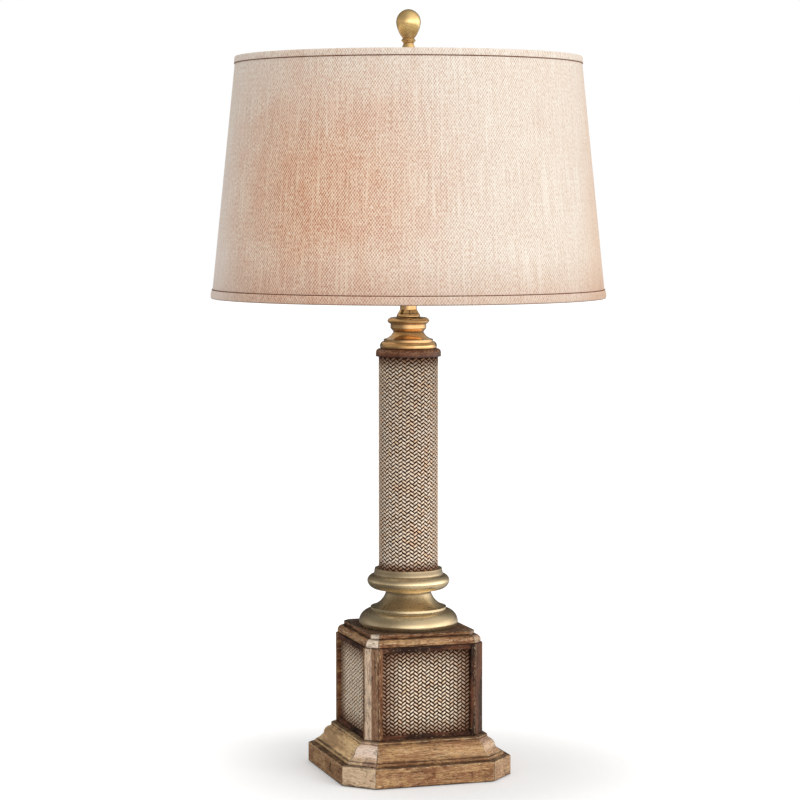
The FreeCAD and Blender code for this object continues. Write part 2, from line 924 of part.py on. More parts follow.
def build_parts():
    """Every piece of the lamp by name."""
    posts = four_ways(corner_post())
    panels = four_ways(front_panel())
    sleeve = harp_sleeve()
    return {
        "felt_pad": felt_pad(),
        "base_slab": base_slab(),
        "base_moulding": base_moulding(),
        "ballast": ballast(),
        "carcass": carcass(),
        "post_front_left": posts[0],
        "post_front_right": posts[1],
        "post_back_right": posts[2],
        "post_back_left": posts[3],
        "bottom_rails": rails(bottom_rail_height, z_box),
        "top_rails": rails(top_rail_height, z_cap - top_rail_height),
        "panel_front": panels[0],
        "panel_right": panels[1],
        "panel_back": inlet_hole(panels[2]),
        "panel_left": panels[3],
        "cord_bushing": cord_bushing(),
        "rod_washer": rod_washer(),
        "rod_nut": rod_nut(),
        "threaded_rod": threaded_rod(),
        "cap_moulding": cap_moulding(),
        "cap_plate": cap_plate(),
        "pedestal": pedestal(),
        "column_tube": column_tube(),
        "column_weave": column_weave(),
        "column_ring": column_ring(),
        "column_cap": column_cap(),
        "neck": neck(),
        "harp_saddle": harp_saddle(),
        "harp": harp(),
        "harp_stud": harp_stud(),
        "sleeve_right": sleeve,
        "sleeve_left": sleeve.mirror(ORIGIN, AXIS_X),
        "socket_cap": socket_cap(),
        "socket_body": socket_body(),
        "socket_shell": socket_shell(),
        "screw_shell": screw_shell(),
        "centre_contact": centre_contact(),
        "switch_knob": switch_knob(),
        "bulb_tip": bulb_tip(),
        "bulb_base": bulb_base(),
        "bulb_glass": bulb_glass(),
        "shade_panel": shade_panel(),
        "trim_top": trim(shade_height - trim_top_height, shade_height, 1),
        "trim_bottom": trim(trim_bottom_height, 0, -1),
        "top_ring": top_ring(),
        "bottom_ring": bottom_ring(),
        "spider": spider(),
        "finial": finial(),
    }


def main():
    """Builds the lamp and writes one STEP file for each piece."""
    os.makedirs("parts", exist_ok=True)
    for name, shape in build_parts().items():
        solids = shape.Solids
        if not solids or not shape.isValid():
            raise ValueError(name + " is not a valid solid")
        piece = solids[0] if len(solids) == 1 else Part.makeCompound(solids)
        piece.exportStep(os.path.join("parts", name + ".step"))
        print(name, len(solids), round(shape.Volume))
    print("rim", round(z_rim, 2), "finial top", round(z_finial + finial_height, 2))


main()
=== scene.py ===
"""Dresses the table lamp and stands it in soft light on a white floor.

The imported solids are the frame. Wooden, brass and steel solids keep their shape and get a finish. The
shade's linen, its tapes and the herringbone weave are made here and stand for their plain solids.
Lengths are in metres and angles in degrees.
"""

import logging
import math
import random
from dataclasses import dataclass
from enum import Enum
from typing import Any, Sequence

import bmesh
import bpy
from mathutils import Matrix, Vector


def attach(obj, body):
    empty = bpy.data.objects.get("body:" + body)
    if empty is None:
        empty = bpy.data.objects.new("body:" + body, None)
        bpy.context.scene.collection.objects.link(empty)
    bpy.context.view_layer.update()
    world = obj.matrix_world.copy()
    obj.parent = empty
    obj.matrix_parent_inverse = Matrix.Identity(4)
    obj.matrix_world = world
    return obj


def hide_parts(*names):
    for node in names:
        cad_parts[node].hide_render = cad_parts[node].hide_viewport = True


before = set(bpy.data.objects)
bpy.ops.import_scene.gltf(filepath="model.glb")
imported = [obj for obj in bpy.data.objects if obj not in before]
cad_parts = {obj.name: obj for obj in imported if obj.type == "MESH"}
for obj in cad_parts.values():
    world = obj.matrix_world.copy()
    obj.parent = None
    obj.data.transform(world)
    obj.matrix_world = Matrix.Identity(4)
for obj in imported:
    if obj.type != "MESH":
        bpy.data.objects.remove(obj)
LOG = logging.getLogger("table_lamp")

Colour = tuple[float, float, float]
Direction = tuple[float, float, float]
Pieces = list[bpy.types.Object]
Socket = Any

WELDED = 0.000002
SPIN_WELDED = 0.000001
CREASE = math.radians(50)
CORNER_TURN = math.radians(22.5)
CORNER_OUT = 0.707


def tint(red: int, green: int, blue: int) -> Colour:
    """Turns a colour as the eye reads it into the linear one that shaders use.

    Args:
        red: red from 0 to 255.
        green: green from 0 to 255.
        blue: blue from 0 to 255.

    Returns:
        The linear colour.
    """
    def linear(value: int) -> float:
        """One channel made linear."""
        share = value / 255
        return share / 12.92 if share <= 0.04045 else ((share + 0.055) / 1.055) ** 2.4

    return linear(red), linear(green), linear(blue)


@dataclass(frozen=True)
class Cloud:
    """Even noise, by how many cells lie along a metre."""

    scale: float
    detail: float
    rough: float


@dataclass(frozen=True)
class Grain:
    """Noise drawn out along a fibre, by how many cells lie along a metre of each of its axes."""

    along: float
    across: float
    detail: float
    rough: float
    third: float = 1.0


@dataclass(frozen=True)
class Step:
    """A smooth step from low to high while a value goes from start to end."""

    start: float
    end: float
    low: float = 0.0
    high: Any = 1.0


@dataclass(frozen=True)
class Dots:
    """Scattered round dots: cells along a metre, a dot's radius in cells, and the share without one."""

    scale: float
    size: float
    share: float


class NodeSheet:
    """A node tree, with short calls for what the finishes and the studio share."""

    def __init__(self, tree: bpy.types.NodeTree) -> None:
        """Takes the tree that the nodes go into."""
        self.tree = tree

    def add(self, kind: str, **settings: Any) -> bpy.types.Node:
        """Adds a node and sets its properties.

        Args:
            kind: the node's type.
            settings: its properties.

        Returns:
            The node.
        """
        node = self.tree.nodes.new(kind)
        for key, value in settings.items():
            setattr(node, key, value)
        return node

    def join(self, start: Socket, end: Socket) -> None:
        """Links an output to an input."""
        self.tree.links.new(start, end)

    def put(self, socket: Socket, value: Any) -> None:
        """Links a socket to an input, or sets a plain value on it.

        Args:
            socket: the input.
            value: an output, a colour or a number.
        """
        if isinstance(value, bpy.types.NodeSocket):
            self.join(value, socket)
        elif isinstance(value, tuple) and len(value) == 3 and socket.type == "RGBA":
            socket.default_value = (*value, 1.0)
        else:
            socket.default_value = value

    def place(self) -> Socket:
        """The object coordinates, in metres."""
        return self.add("ShaderNodeTexCoord").outputs["Object"]

    def chart(self, name: str) -> Socket:
        """The coordinates of a named UV map."""
        return self.add("ShaderNodeUVMap", uv_map=name).outputs["UV"]

    def mark(self, name: str) -> Socket:
        """The value of a named attribute."""
        return self.add("ShaderNodeAttribute", attribute_name=name).outputs["Fac"]

    def parts(self, vector: Socket) -> tuple[Socket, Socket, Socket]:
        """The three parts of a vector.

        Args:
            vector: the vector.

        Returns:
            Its x, y and z.
        """
        split = self.add("ShaderNodeSeparateXYZ")
        self.join(vector, split.inputs[0])
        return split.outputs[0], split.outputs[1], split.outputs[2]

    def whole(self, x: Any, y: Any, z: Any) -> Socket:
        """A vector from three parts.

        Args:
            x: the first part.
            y: the second.
            z: the third.

        Returns:
            The vector.
        """
        joined = self.add("ShaderNodeCombineXYZ")
        for index, value in enumerate((x, y, z)):
            self.put(joined.inputs[index], value)
        return joined.outputs[0]

    def scaled(self, vector: Socket, *scale: float) -> Socket:
        """A vector stretched along its three axes.

        Args:
            vector: the vector.
            scale: the three factors.

        Returns:
            The stretched vector.
        """
        mapping = self.add("ShaderNodeMapping")
        self.join(vector, mapping.inputs["Vector"])
        mapping.inputs["Scale"].default_value = scale
        return mapping.outputs["Vector"]

    def calc(self, operation: str, first: Any, second: Any = 0.0, third: Any = 0.0) -> Socket:
        """One sum of the Math node.

        Args:
            operation: the sum's kind.
            first: its first value.
            second: its second value.
            third: its third value.

        Returns:
            The result.
        """
        node = self.add("ShaderNodeMath", operation=operation)
        for index, value in enumerate((first, second, third)):
            self.put(node.inputs[index], value)
        return node.outputs[0]

    def measure(self, operation: str, vector: Socket, other: Direction = (0.0, 0.0, 0.0)) -> Socket:
        """A number that the Vector Math node takes from a vector and a fixed one.

        Args:
            operation: the sum's kind.
            vector: the vector.
            other: the fixed vector.

        Returns:
            The number.
        """
        node = self.add("ShaderNodeVectorMath", operation=operation)
        self.join(vector, node.inputs[0])
        node.inputs[1].default_value = other
        return node.outputs["Value"]

    def times(self, first: Any, second: Any) -> Socket:
        """The product of two values."""
        return self.calc("MULTIPLY", first, second)

    def most(self, first: Any, *others: Any) -> Socket:
        """The highest of some values.

        Args:
            first: a value.
            others: further values.

        Returns:
            The highest.
        """
        for other in others:
            first = self.calc("MAXIMUM", first, other)
        return first

    def summed(self, start: Any, *shares: tuple[Socket, float]) -> Socket:
        """A start with shares of further values added to it.

        Args:
            start: what is added to.
            shares: values with their factors.

        Returns:
            The sum.
        """
        for value, share in shares:
            start = self.calc("MULTIPLY_ADD", value, share, start)
        return start

    def swayed(self, start: Any, *sways: tuple[Socket, float]) -> Socket:
        """A start that noises push up and down, each about its middle and by its own amount."""
        return self.summed(start, *((self.calc("SUBTRACT", noise, 0.5), amount) for noise, amount in sways))

    def apart(self, value: Socket, level: float) -> Socket:
        """How far a value is from a level."""
        return self.calc("ABSOLUTE", self.calc("SUBTRACT", value, level))

    def noise(self, vector: Socket, cloud: Cloud, output: str = "Fac") -> Socket:
        """The value of a cloud, from 0 to 1, or its Color to shake lines with.

        Args:
            vector: where the noise is read.
            cloud: its kind.
            output: the node's output.

        Returns:
            The noise.
        """
        node = self.add("ShaderNodeTexNoise")
        self.join(vector, node.inputs["Vector"])
        node.inputs["Scale"].default_value = cloud.scale
        node.inputs["Detail"].default_value = cloud.detail
        node.inputs["Roughness"].default_value = cloud.rough
        return node.outputs[output]

    def grain(self, vector: Socket, grain: Grain) -> Socket:
        """The value of a grain, from 0 to 1."""
        drawn = self.scaled(vector, grain.along, grain.across, grain.third)
        return self.noise(drawn, Cloud(1.0, grain.detail, grain.rough))

    def dots(self, vector: Socket, dots: Dots) -> Socket:
        """Round dots: 1 in the middle of a dot, 0 away from it.

        Args:
            vector: where the dots are read.
            dots: their kind.

        Returns:
            The dots' strength.
        """
        node = self.add("ShaderNodeTexVoronoi", feature="F1")
        self.join(vector, node.inputs["Vector"])
        node.inputs["Scale"].default_value = dots.scale
        chance = self.add("ShaderNodeSeparateColor")
        self.join(node.outputs["Color"], chance.inputs[0])
        there = self.calc("GREATER_THAN", chance.outputs[0], dots.share)
        return self.times(there, self.fade(node.outputs["Distance"], Step(dots.size * 0.5, dots.size, 1.0, 0.0)))

    def splits(self, vector: Socket, width: float) -> Socket:
        """Thin lines where the cells of a cracked surface meet: 1 on a line, 0 off it.

        Args:
            vector: where the lines are read.
            width: a line's width in cells.

        Returns:
            The lines' strength.
        """
        node = self.add("ShaderNodeTexVoronoi", feature="DISTANCE_TO_EDGE")
        self.join(vector, node.inputs["Vector"])
        node.inputs["Scale"].default_value = 1.0
        return self.fade(node.outputs["Distance"], Step(width * 0.3, width, 1.0, 0.0))

    def fade(self, value: Socket, step: Step, kind: str = "SMOOTHSTEP") -> Socket:
        """A value sent through a step.

        Args:
            value: the value.
            step: the step.
            kind: the step's form.

        Returns:
            Where the step puts it.
        """
        node = self.add("ShaderNodeMapRange", interpolation_type=kind)
        ends = (("Value", value), ("From Min", step.start), ("From Max", step.end),
                ("To Min", step.low), ("To Max", step.high))
        for name, end in ends:
            self.put(node.inputs[name], end)
        return node.outputs["Result"]

    def ramp(self, value: Socket, *stops: tuple[float, Colour]) -> Socket:
        """A colour read from stops along 0 to 1.

        Args:
            value: where the colour is read.
            stops: positions with their colours.

        Returns:
            The colour.
        """
        node = self.add("ShaderNodeValToRGB")
        band = node.color_ramp
        for element, (position, colour) in zip(band.elements, (stops[0], stops[-1])):
            element.position = position
            element.color = (*colour, 1.0)
        for position, colour in stops[1:-1]:
            band.elements.new(position).color = (*colour, 1.0)
        self.join(value, node.inputs["Fac"])
        return node.outputs["Color"]

    def blend(self, amount: Any, under: Any, over: Any, mode: str = "MIX") -> Socket:
        """Two colours mixed by an amount.

        Args:
            amount: how much of the upper colour shows.
            under: the lower colour.
            over: the upper colour.
            mode: how they mix.

        Returns:
            The mixed colour.
        """
        node = self.add("ShaderNodeMix", data_type="RGBA", blend_type=mode)
        self.put(node.inputs["Factor"], amount)
        self.put(node.inputs[6], under)
        self.put(node.inputs[7], over)
        return node.outputs[2]

    def coat(self, under: Any, over: Any, value: Socket, step: Step, mode: str = "MIX") -> Socket:
        """A colour laid over another, as thickly as a value's step says."""
        return self.blend(self.fade(value, step), under, over, mode)

    def bump(self, height: Socket, distance: float, strength: float) -> Socket:
        """A bumped normal from a height of 0 to 1 over a distance.

        Args:
            height: the relief.
            distance: how high it is.
            strength: how much of it shows.

        Returns:
            The normal.
        """
        node = self.add("ShaderNodeBump")
        self.join(height, node.inputs["Height"])
        node.inputs["Distance"].default_value = distance
        node.inputs["Strength"].default_value = strength
        return node.outputs["Normal"]


class FinishSheet(NodeSheet):
    """The nodes of one material, round a principled shader."""

    def __init__(self, name: str) -> None:
        """Starts the material.

        Args:
            name: the material's name.
        """
        self.material = bpy.data.materials.new(name)
        self.material.use_nodes = True
        super().__init__(self.material.node_tree)
        self.tree.nodes.clear()
        self.shader = self.add("ShaderNodeBsdfPrincipled")
        self.output = self.add("ShaderNodeOutputMaterial")
        self.join(self.shader.outputs["BSDF"], self.output.inputs["Surface"])

    def set(self, **values: Any) -> bpy.types.Material:
        """Sets or links the shader's own inputs, named with underscores for spaces.

        Args:
            values: what each input gets.

        Returns:
            The material.
        """
        for key, value in values.items():
            self.put(self.shader.inputs[key.replace("_", " ")], value)
        return self.material


class WoodSheet(FinishSheet):
    """A wood's nodes: where a point lies on the plinth, and the marks of its grain there."""

    def __init__(self, wood: "WornWood") -> None:
        """Draws what every step of the finish reads.

        Args:
            wood: the finish that is drawn.
        """
        super().__init__(wood.name)
        self.spot = self.place()
        self.x, y, self.z = self.parts(self.spot)
        wide, deep = self.calc("ABSOLUTE", self.x), self.calc("ABSOLUTE", y)
        far, near = self.most(wide, deep), self.calc("MINIMUM", wide, deep)
        slope = math.tan(CORNER_TURN)
        corner = self.summed(wood.half - wood.leg - slope * wood.half, (far, slope))
        self.past_corner = self.calc("SUBTRACT", near, corner)
        self.on_chamfer = self.calc("GREATER_THAN", self.past_corner, 0.0)
        self.on_side = self.calc("GREATER_THAN", wide, deep)
        self.crossing = self.calc("SUBTRACT", wide, deep)
        along = self.blend(self.on_chamfer, self.blend(self.on_side, self.x, y), self.crossing)
        away = self.blend(self.on_chamfer, far, self.times(self.calc("ADD", wide, deep), CORNER_OUT))
        seed = self.summed(self.times(self.on_chamfer, 0.53), (self.on_side, 0.37),
                           (self.calc("SIGN", self.x), 0.11), (self.calc("SIGN", y), 0.23))
        if wood.upright:
            self.fibre_place = self.whole(self.z, along, self.calc("ADD", away, seed))
        else:
            self.fibre_place = self.whole(along, self.calc("SUBTRACT", self.z, away), seed)
        self.fibre = self.grain(self.fibre_place, wood.fibre)
        self.fine = self.grain(self.fibre_place, wood.fine)
        self.scuffs = self.grain(self.fibre_place, wood.scuffs)
        self.rub = self.noise(self.spot, wood.rub)
        self.blotch = self.noise(self.spot, wood.blotch)


@dataclass(frozen=True)
class WornWood:
    """Wood that was stained, glazed dark in its pores and hollows and worn pale along its edges.

    The grain follows each side of the plinth, whose plan is a square with cut corners. The cut corners and a
    band of some mouldings carry painted highlight, and the left side painted light.
    """

    name: str
    stain: float
    upright: bool = False
    half: float = 0.0638
    leg: float = 0.0115
    dark: Colour = tint(40, 20, 11)
    middle: Colour = tint(138, 97, 65)
    pale: Colour = tint(202, 160, 114)
    pale_wear_and_highlight: Colour = tint(240, 212, 172)
    worn_highlight: Colour = tint(240, 212, 184)
    left_painted_light_tint: Colour = tint(255, 244, 222)
    red: Colour = tint(126, 76, 52)
    golden: Colour = tint(208, 168, 112)
    stops: tuple[float, float, float, float] = (0.25, 0.38, 0.54, 0.7)
    staining: float = 0.2
    left_painted_light: float = 0.0
    worn_highlight_level: float = 0.85
    half_highlit: bool = False
    highlight_band: tuple[float, float] = (0.0, 1.0)
    scuffing: float = 0.3
    glaze_heights: tuple[float, ...] = (0.0012, 0.0214, 0.0250, 0.0408, 0.0433, 0.139, 0.1474, 0.1518)
    worn_heights: tuple[float, ...] = (0.0204, 0.0428, 0.1438, 0.1514)
    highlight_height: float = 0.0315
    broad: Grain = Grain(9, 40, 4, 0.6)
    fibre: Grain = Grain(34, 430, 5, 0.66)
    fine: Grain = Grain(150, 1500, 3, 0.65)
    dashes: Grain = Grain(190, 950, 3, 0.6)
    scuffs: Grain = Grain(240, 620, 3, 0.7)
    long_cracks: Grain = Grain(26, 170, 6, 0.75)
    redness: Grain = Grain(16, 70, 5, 0.7)
    rub: Cloud = Cloud(70, 5, 0.75)
    blotch: Cloud = Cloud(46, 5, 0.7)
    highlight_reach: Step = Step(0.003, 0.0095, 0.08, 0.0)
    reddened: Step = Step(0.42, 0.6, 0.0, 0.55)
    warm_patches: Step = Step(0.5, 0.66, 0.0, 0.5)
    warm_tones: Step = Step(0.36, 0.46)
    corner_wear: Step = Step(0.0, 0.0024, 1.0, 0.0)
    edge_wear: Step = Step(0.0, 0.0015, 1.0, 0.0)
    edge_sway: float = 0.004
    wear_breaks: Step = Step(0.45, 0.62)
    wear: float = 0.55
    highlight_fibres: Step = Step(0.34, 0.56, 0.6, 1.0)
    highlight_sides: Step = Step(-0.001, 0.001, 1.0, 0.3)
    highlight_halves: Step = Step(-0.0012, 0.0016, 0.12, 1.0)
    pores: Step = Step(0.4, 0.33, 0.0, 0.85)
    crack_lines: Step = Step(0.004, 0.014, 1.0, 0.0)
    crack_patches: Step = Step(0.5, 0.57)
    specks: tuple[Dots, ...] = (Dots(130, 0.12, 0.5), Dots(300, 0.2, 0.72))
    split_cells: Direction = (34, 150, 1)
    split_shake: Cloud = Cloud(260, 3, 0.5)
    split_width: float = 0.05
    split_patches: Step = Step(0.565, 0.61)
    corner_glaze: Step = Step(0.0002, 0.0009, 0.85, 0.0)
    corner_breaks: Step = Step(0.6, 0.48, 0.25)
    hollow_glaze: Step = Step(0.0, 0.0012, 0.9, 0.0)
    hollow_sway: float = 0.003
    glazing: float = 0.88
    satin: Step = Step(0.3, 0.7, 0.66, 0.48)

    def left(self, sheet: WoodSheet) -> Socket:
        """Is 1 on the plinth's left side and 0 elsewhere."""
        return sheet.times(sheet.on_side, sheet.calc("LESS_THAN", sheet.x, 0.0))

    def toned(self, sheet: WoodSheet) -> Socket:
        """How light the stained wood is, from 0 to 1, with painted light on the left side and a painted highlight
        band.

        Args:
            sheet: the finish's nodes.

        Returns:
            The tone.
        """
        broad = sheet.grain(sheet.fibre_place, self.broad)
        tone = sheet.summed(sheet.times(broad, 0.3), (sheet.fibre, 0.5), (sheet.blotch, 0.2))
        tone = sheet.swayed(tone, (sheet.fine, 0.5), (sheet.scuffs, 0.25))
        tone = sheet.calc("SUBTRACT", tone, self.staining * self.stain)
        # Painted light: the left side is made lighter.
        if self.left_painted_light:
            tone = sheet.summed(tone, (self.left(sheet), self.left_painted_light))
        # Painted highlight: the wood is lighter in a band about one height.
        pale_wear_and_highlight = sheet.fade(sheet.apart(sheet.z, self.highlight_height), self.highlight_reach)
        return sheet.calc("ADD", tone, pale_wear_and_highlight)

    def stained(self, sheet: WoodSheet, tone: Socket) -> Socket:
        """The colour of the stained wood, lighter on the left side as painted light, before it is worn, made pale
        at the corners or glazed.

        Args:
            sheet: the finish's nodes.
            tone: how light the wood is.

        Returns:
            The colour.
        """
        colour = sheet.ramp(tone, *zip(self.stops, (self.dark, self.middle, self.pale, self.pale_wear_and_highlight)))
        # Painted light: the left side is tinted lighter.
        if self.left_painted_light:
            colour = sheet.blend(self.left(sheet), colour, self.left_painted_light_tint, "MULTIPLY")
        redness = sheet.grain(sheet.fibre_place, self.redness)
        colour = sheet.coat(colour, self.red, redness, self.reddened)
        warmer = sheet.times(sheet.fade(sheet.rub, self.warm_patches), sheet.fade(tone, self.warm_tones))
        return sheet.blend(warmer, colour, self.golden)

    def worn(self, sheet: WoodSheet) -> Socket:
        """How far the edges are worn bare, from 0 to 1.

        Args:
            sheet: the finish's nodes.

        Returns:
            The wear.
        """
        edge = sheet.fade(sheet.calc("ABSOLUTE", sheet.past_corner), self.corner_wear)
        for height in self.worn_heights:
            wavy = sheet.swayed(sheet.apart(sheet.z, height), (sheet.rub, self.edge_sway))
            edge = sheet.most(edge, sheet.fade(wavy, self.edge_wear))
        return sheet.times(edge, sheet.fade(sheet.scuffs, self.wear_breaks))

    def frosted(self, sheet: WoodSheet, tone: Socket) -> Socket:
        """How pale the cut corners are, from 0 to 1: worn pale, and painted highlight.

        Args:
            sheet: the finish's nodes.
            tone: how light the wood is.

        Returns:
            The paleness.
        """
        bare = sheet.calc("ADD", sheet.swayed(tone, (sheet.rub, 0.5)), self.staining * self.stain)
        # The cut corners are made pale: partly wear, partly painted highlight.
        worn_highlight = sheet.times(sheet.on_chamfer, sheet.fade(bare, Step(0.28, 0.55, 0.15, self.worn_highlight_level)))
        worn_highlight = sheet.times(worn_highlight, sheet.fade(sheet.fine, self.highlight_fibres))
        # Painted highlight: full on the left side's corners, weaker on the right.
        worn_highlight = sheet.times(worn_highlight, sheet.fade(sheet.x, self.highlight_sides))
        # Painted highlight: only one half of a corner, or one band of heights, where given.
        if self.half_highlit:
            worn_highlight = sheet.times(worn_highlight, sheet.fade(sheet.crossing, self.highlight_halves))
        low, high = self.highlight_band
        if high < 1.0:
            reach = (high - low) / 2
            band = Step(reach * 0.6, reach * 1.2, 1.0, 0.3)
            worn_highlight = sheet.times(worn_highlight, sheet.fade(sheet.apart(sheet.z, (low + high) / 2), band))
        return worn_highlight

    def glazed(self, sheet: WoodSheet, worn_highlight: Socket) -> Socket:
        """How thick the dark glaze lies in pores, cracks, corners and hollows, from 0 to 1.

        Args:
            sheet: the finish's nodes.
            worn_highlight: how pale the cut corners are, from wear and painted highlight.

        Returns:
            The glaze.
        """
        pores = sheet.fade(sheet.grain(sheet.fibre_place, self.dashes), self.pores)
        crack = sheet.fade(sheet.apart(sheet.grain(sheet.fibre_place, self.long_cracks), 0.5), self.crack_lines)
        cracks = sheet.times(crack, sheet.fade(sheet.blotch, self.crack_patches))
        specks = [sheet.dots(sheet.spot, dots) for dots in self.specks]
        jagged = sheet.blend(0.1, sheet.scaled(sheet.fibre_place, *self.split_cells),
                             sheet.noise(sheet.spot, self.split_shake, "Color"))
        splits = sheet.times(sheet.splits(jagged, self.split_width), sheet.fade(sheet.blotch, self.split_patches))
        glaze = sheet.most(pores, cracks, *specks, splits)
        glaze = sheet.times(glaze, sheet.summed(0.92, (worn_highlight, -0.35)))
        corner_line = sheet.fade(sheet.calc("ABSOLUTE", sheet.past_corner), self.corner_glaze)
        glaze = sheet.most(glaze, sheet.times(corner_line, sheet.fade(sheet.rub, self.corner_breaks)))
        for height in self.glaze_heights:
            wavy = sheet.swayed(sheet.apart(sheet.z, height), (sheet.rub, self.hollow_sway))
            glaze = sheet.most(glaze, sheet.fade(wavy, self.hollow_glaze))
        return glaze

    def build(self) -> bpy.types.Material:
        """Makes the material.

        Returns:
            The material.
        """
        sheet = WoodSheet(self)
        tone = self.toned(sheet)
        worn_highlight = self.frosted(sheet, tone)
        glaze = self.glazed(sheet, worn_highlight)
        # Pale cut corners: wear and painted highlight.
        colour = sheet.blend(worn_highlight, self.stained(sheet, tone), self.worn_highlight)
        colour = sheet.blend(sheet.times(self.worn(sheet), self.wear), colour, self.pale_wear_and_highlight)
        colour = sheet.coat(colour, self.pale_wear_and_highlight, sheet.scuffs, Step(0.58, 0.7, 0.0, self.scuffing))
        colour = sheet.blend(sheet.times(glaze, self.glazing), colour, self.dark)
        height = sheet.summed(sheet.times(sheet.fine, 0.4), (sheet.fibre, 0.6))
        height = sheet.calc("SUBTRACT", height, sheet.times(glaze, 0.7))
        return sheet.set(Base_Color=colour, Roughness=sheet.fade(tone, self.satin), Specular_IOR_Level=0.22,
                         Normal=sheet.bump(height, 0.0006, 0.6))


@dataclass(frozen=True)
class AgedBrass:
    """Brass with a satin face, cloudy with age and glazed dark in its grooves.

    The grooves are heights, with the half width of the glaze that lies in each. The shadows are heights
    with a half width and a strength.
    """

    name: str
    bright: Colour
    dull: Colour
    # The glaze colour also paints the shade of the shadow bands.
    glaze: Colour
    roughness: float
    cloud: float
    grooves: tuple[tuple[float, float], ...]
    shadows: tuple[tuple[float, float, float], ...]
    metallic: float = 0.88
    clouds: Cloud = Cloud(38, 5, 0.65)
    turning: Grain = Grain(14, 14, 3, 0.55, 900)
    specks: Cloud = Cloud(420, 2, 0.5)
    speck_glaze: Step = Step(0.27, 0.2, 0.0, 0.45)

    def glazed(self, sheet: FinishSheet, place: Socket, cloud: Socket) -> Socket:
        """How dark the brass is made, from 0 to 1: glaze in its specks and grooves, and painted shade in the
        shadow bands.

        Args:
            sheet: the finish's nodes.
            place: the object coordinates.
            cloud: the cloudy tone.

        Returns:
            The glaze.
        """
        height = sheet.parts(place)[2]
        glaze = sheet.fade(sheet.noise(place, self.specks), self.speck_glaze)
        # Painted shade: darker bands at the shadow heights.
        for level, half, depth in self.shadows:
            glaze = sheet.most(glaze, sheet.fade(sheet.apart(height, level), Step(0.0, half, depth, 0.0)))
        for level, half in self.grooves:
            wavy = sheet.swayed(sheet.apart(height, level), (cloud, half))
            glaze = sheet.most(glaze, sheet.fade(wavy, Step(half * 0.2, half, 0.75, 0.0)))
        return glaze

    def build(self) -> bpy.types.Material:
        """Makes the material.

        Returns:
            The material.
        """
        sheet = FinishSheet(self.name)
        place = sheet.place()
        cloud = sheet.noise(place, self.clouds)
        tone = sheet.swayed(cloud, (sheet.grain(place, self.turning), 0.35))
        glaze = self.glazed(sheet, place, cloud)
        colour = sheet.coat(self.dull, self.bright, tone, Step(0.36, 0.64, 1.0 - self.cloud, 1.0))
        return sheet.set(
            Base_Color=sheet.blend(glaze, colour, self.glaze),
            Metallic=sheet.fade(glaze, Step(0.2, 0.9, self.metallic, 0.25)),
            Roughness=sheet.fade(tone, Step(0.3, 0.7, self.roughness + 0.1, self.roughness - 0.04)),
            Normal=sheet.bump(tone, 0.0002, 0.2),
        )


@dataclass(frozen=True)
class TurnedWood:
    """Dark waxed wood turned to a ring, worn pale in streaks along its upper edge."""

    name: str
    dark: Colour = tint(50, 24, 14)
    middle: Colour = tint(122, 74, 48)
    pale: Colour = tint(172, 128, 94)
    worn_height: float = 0.4388
    glaze_height: float = 0.4337
    streaks: Grain = Grain(5.5, 900, 4, 0.65)
    dashes: Grain = Grain(13, 700, 3, 0.6)
    patches: Cloud = Cloud(120, 4, 0.65)
    wear: Step = Step(0.0003, 0.0016, 0.9, 0.0)
    wear_breaks: Step = Step(0.46, 0.58)
    pores: Step = Step(0.4, 0.34, 0.0, 0.8)
    foot_glaze: Step = Step(0.0002, 0.0016, 0.8, 0.0)

    def build(self) -> bpy.types.Material:
        """Makes the material.

        Returns:
            The material.
        """
        sheet = FinishSheet(self.name)
        place = sheet.place()
        x, y, z = sheet.parts(place)
        rolled = sheet.whole(sheet.calc("ARCTAN2", y, x), z, 0.0)
        streaks = sheet.grain(rolled, self.streaks)
        dashes = sheet.grain(rolled, self.dashes)
        tone = sheet.summed(sheet.times(sheet.noise(place, self.patches), 0.4), (streaks, 0.6))
        colour = sheet.ramp(tone, (0.34, self.dark), (0.5, self.middle), (0.72, self.pale))
        worn = sheet.times(sheet.fade(sheet.apart(z, self.worn_height), self.wear),
                           sheet.fade(dashes, self.wear_breaks))
        glaze = sheet.most(sheet.fade(dashes, self.pores),
                           sheet.fade(sheet.apart(z, self.glaze_height), self.foot_glaze))
        colour = sheet.blend(glaze, sheet.blend(worn, colour, self.pale), self.dark)
        return sheet.set(Base_Color=colour, Roughness=sheet.fade(tone, Step(0.35, 0.65, 0.42, 0.32)),
                         Specular_IOR_Level=0.3, Normal=sheet.bump(streaks, 0.0003, 0.5))


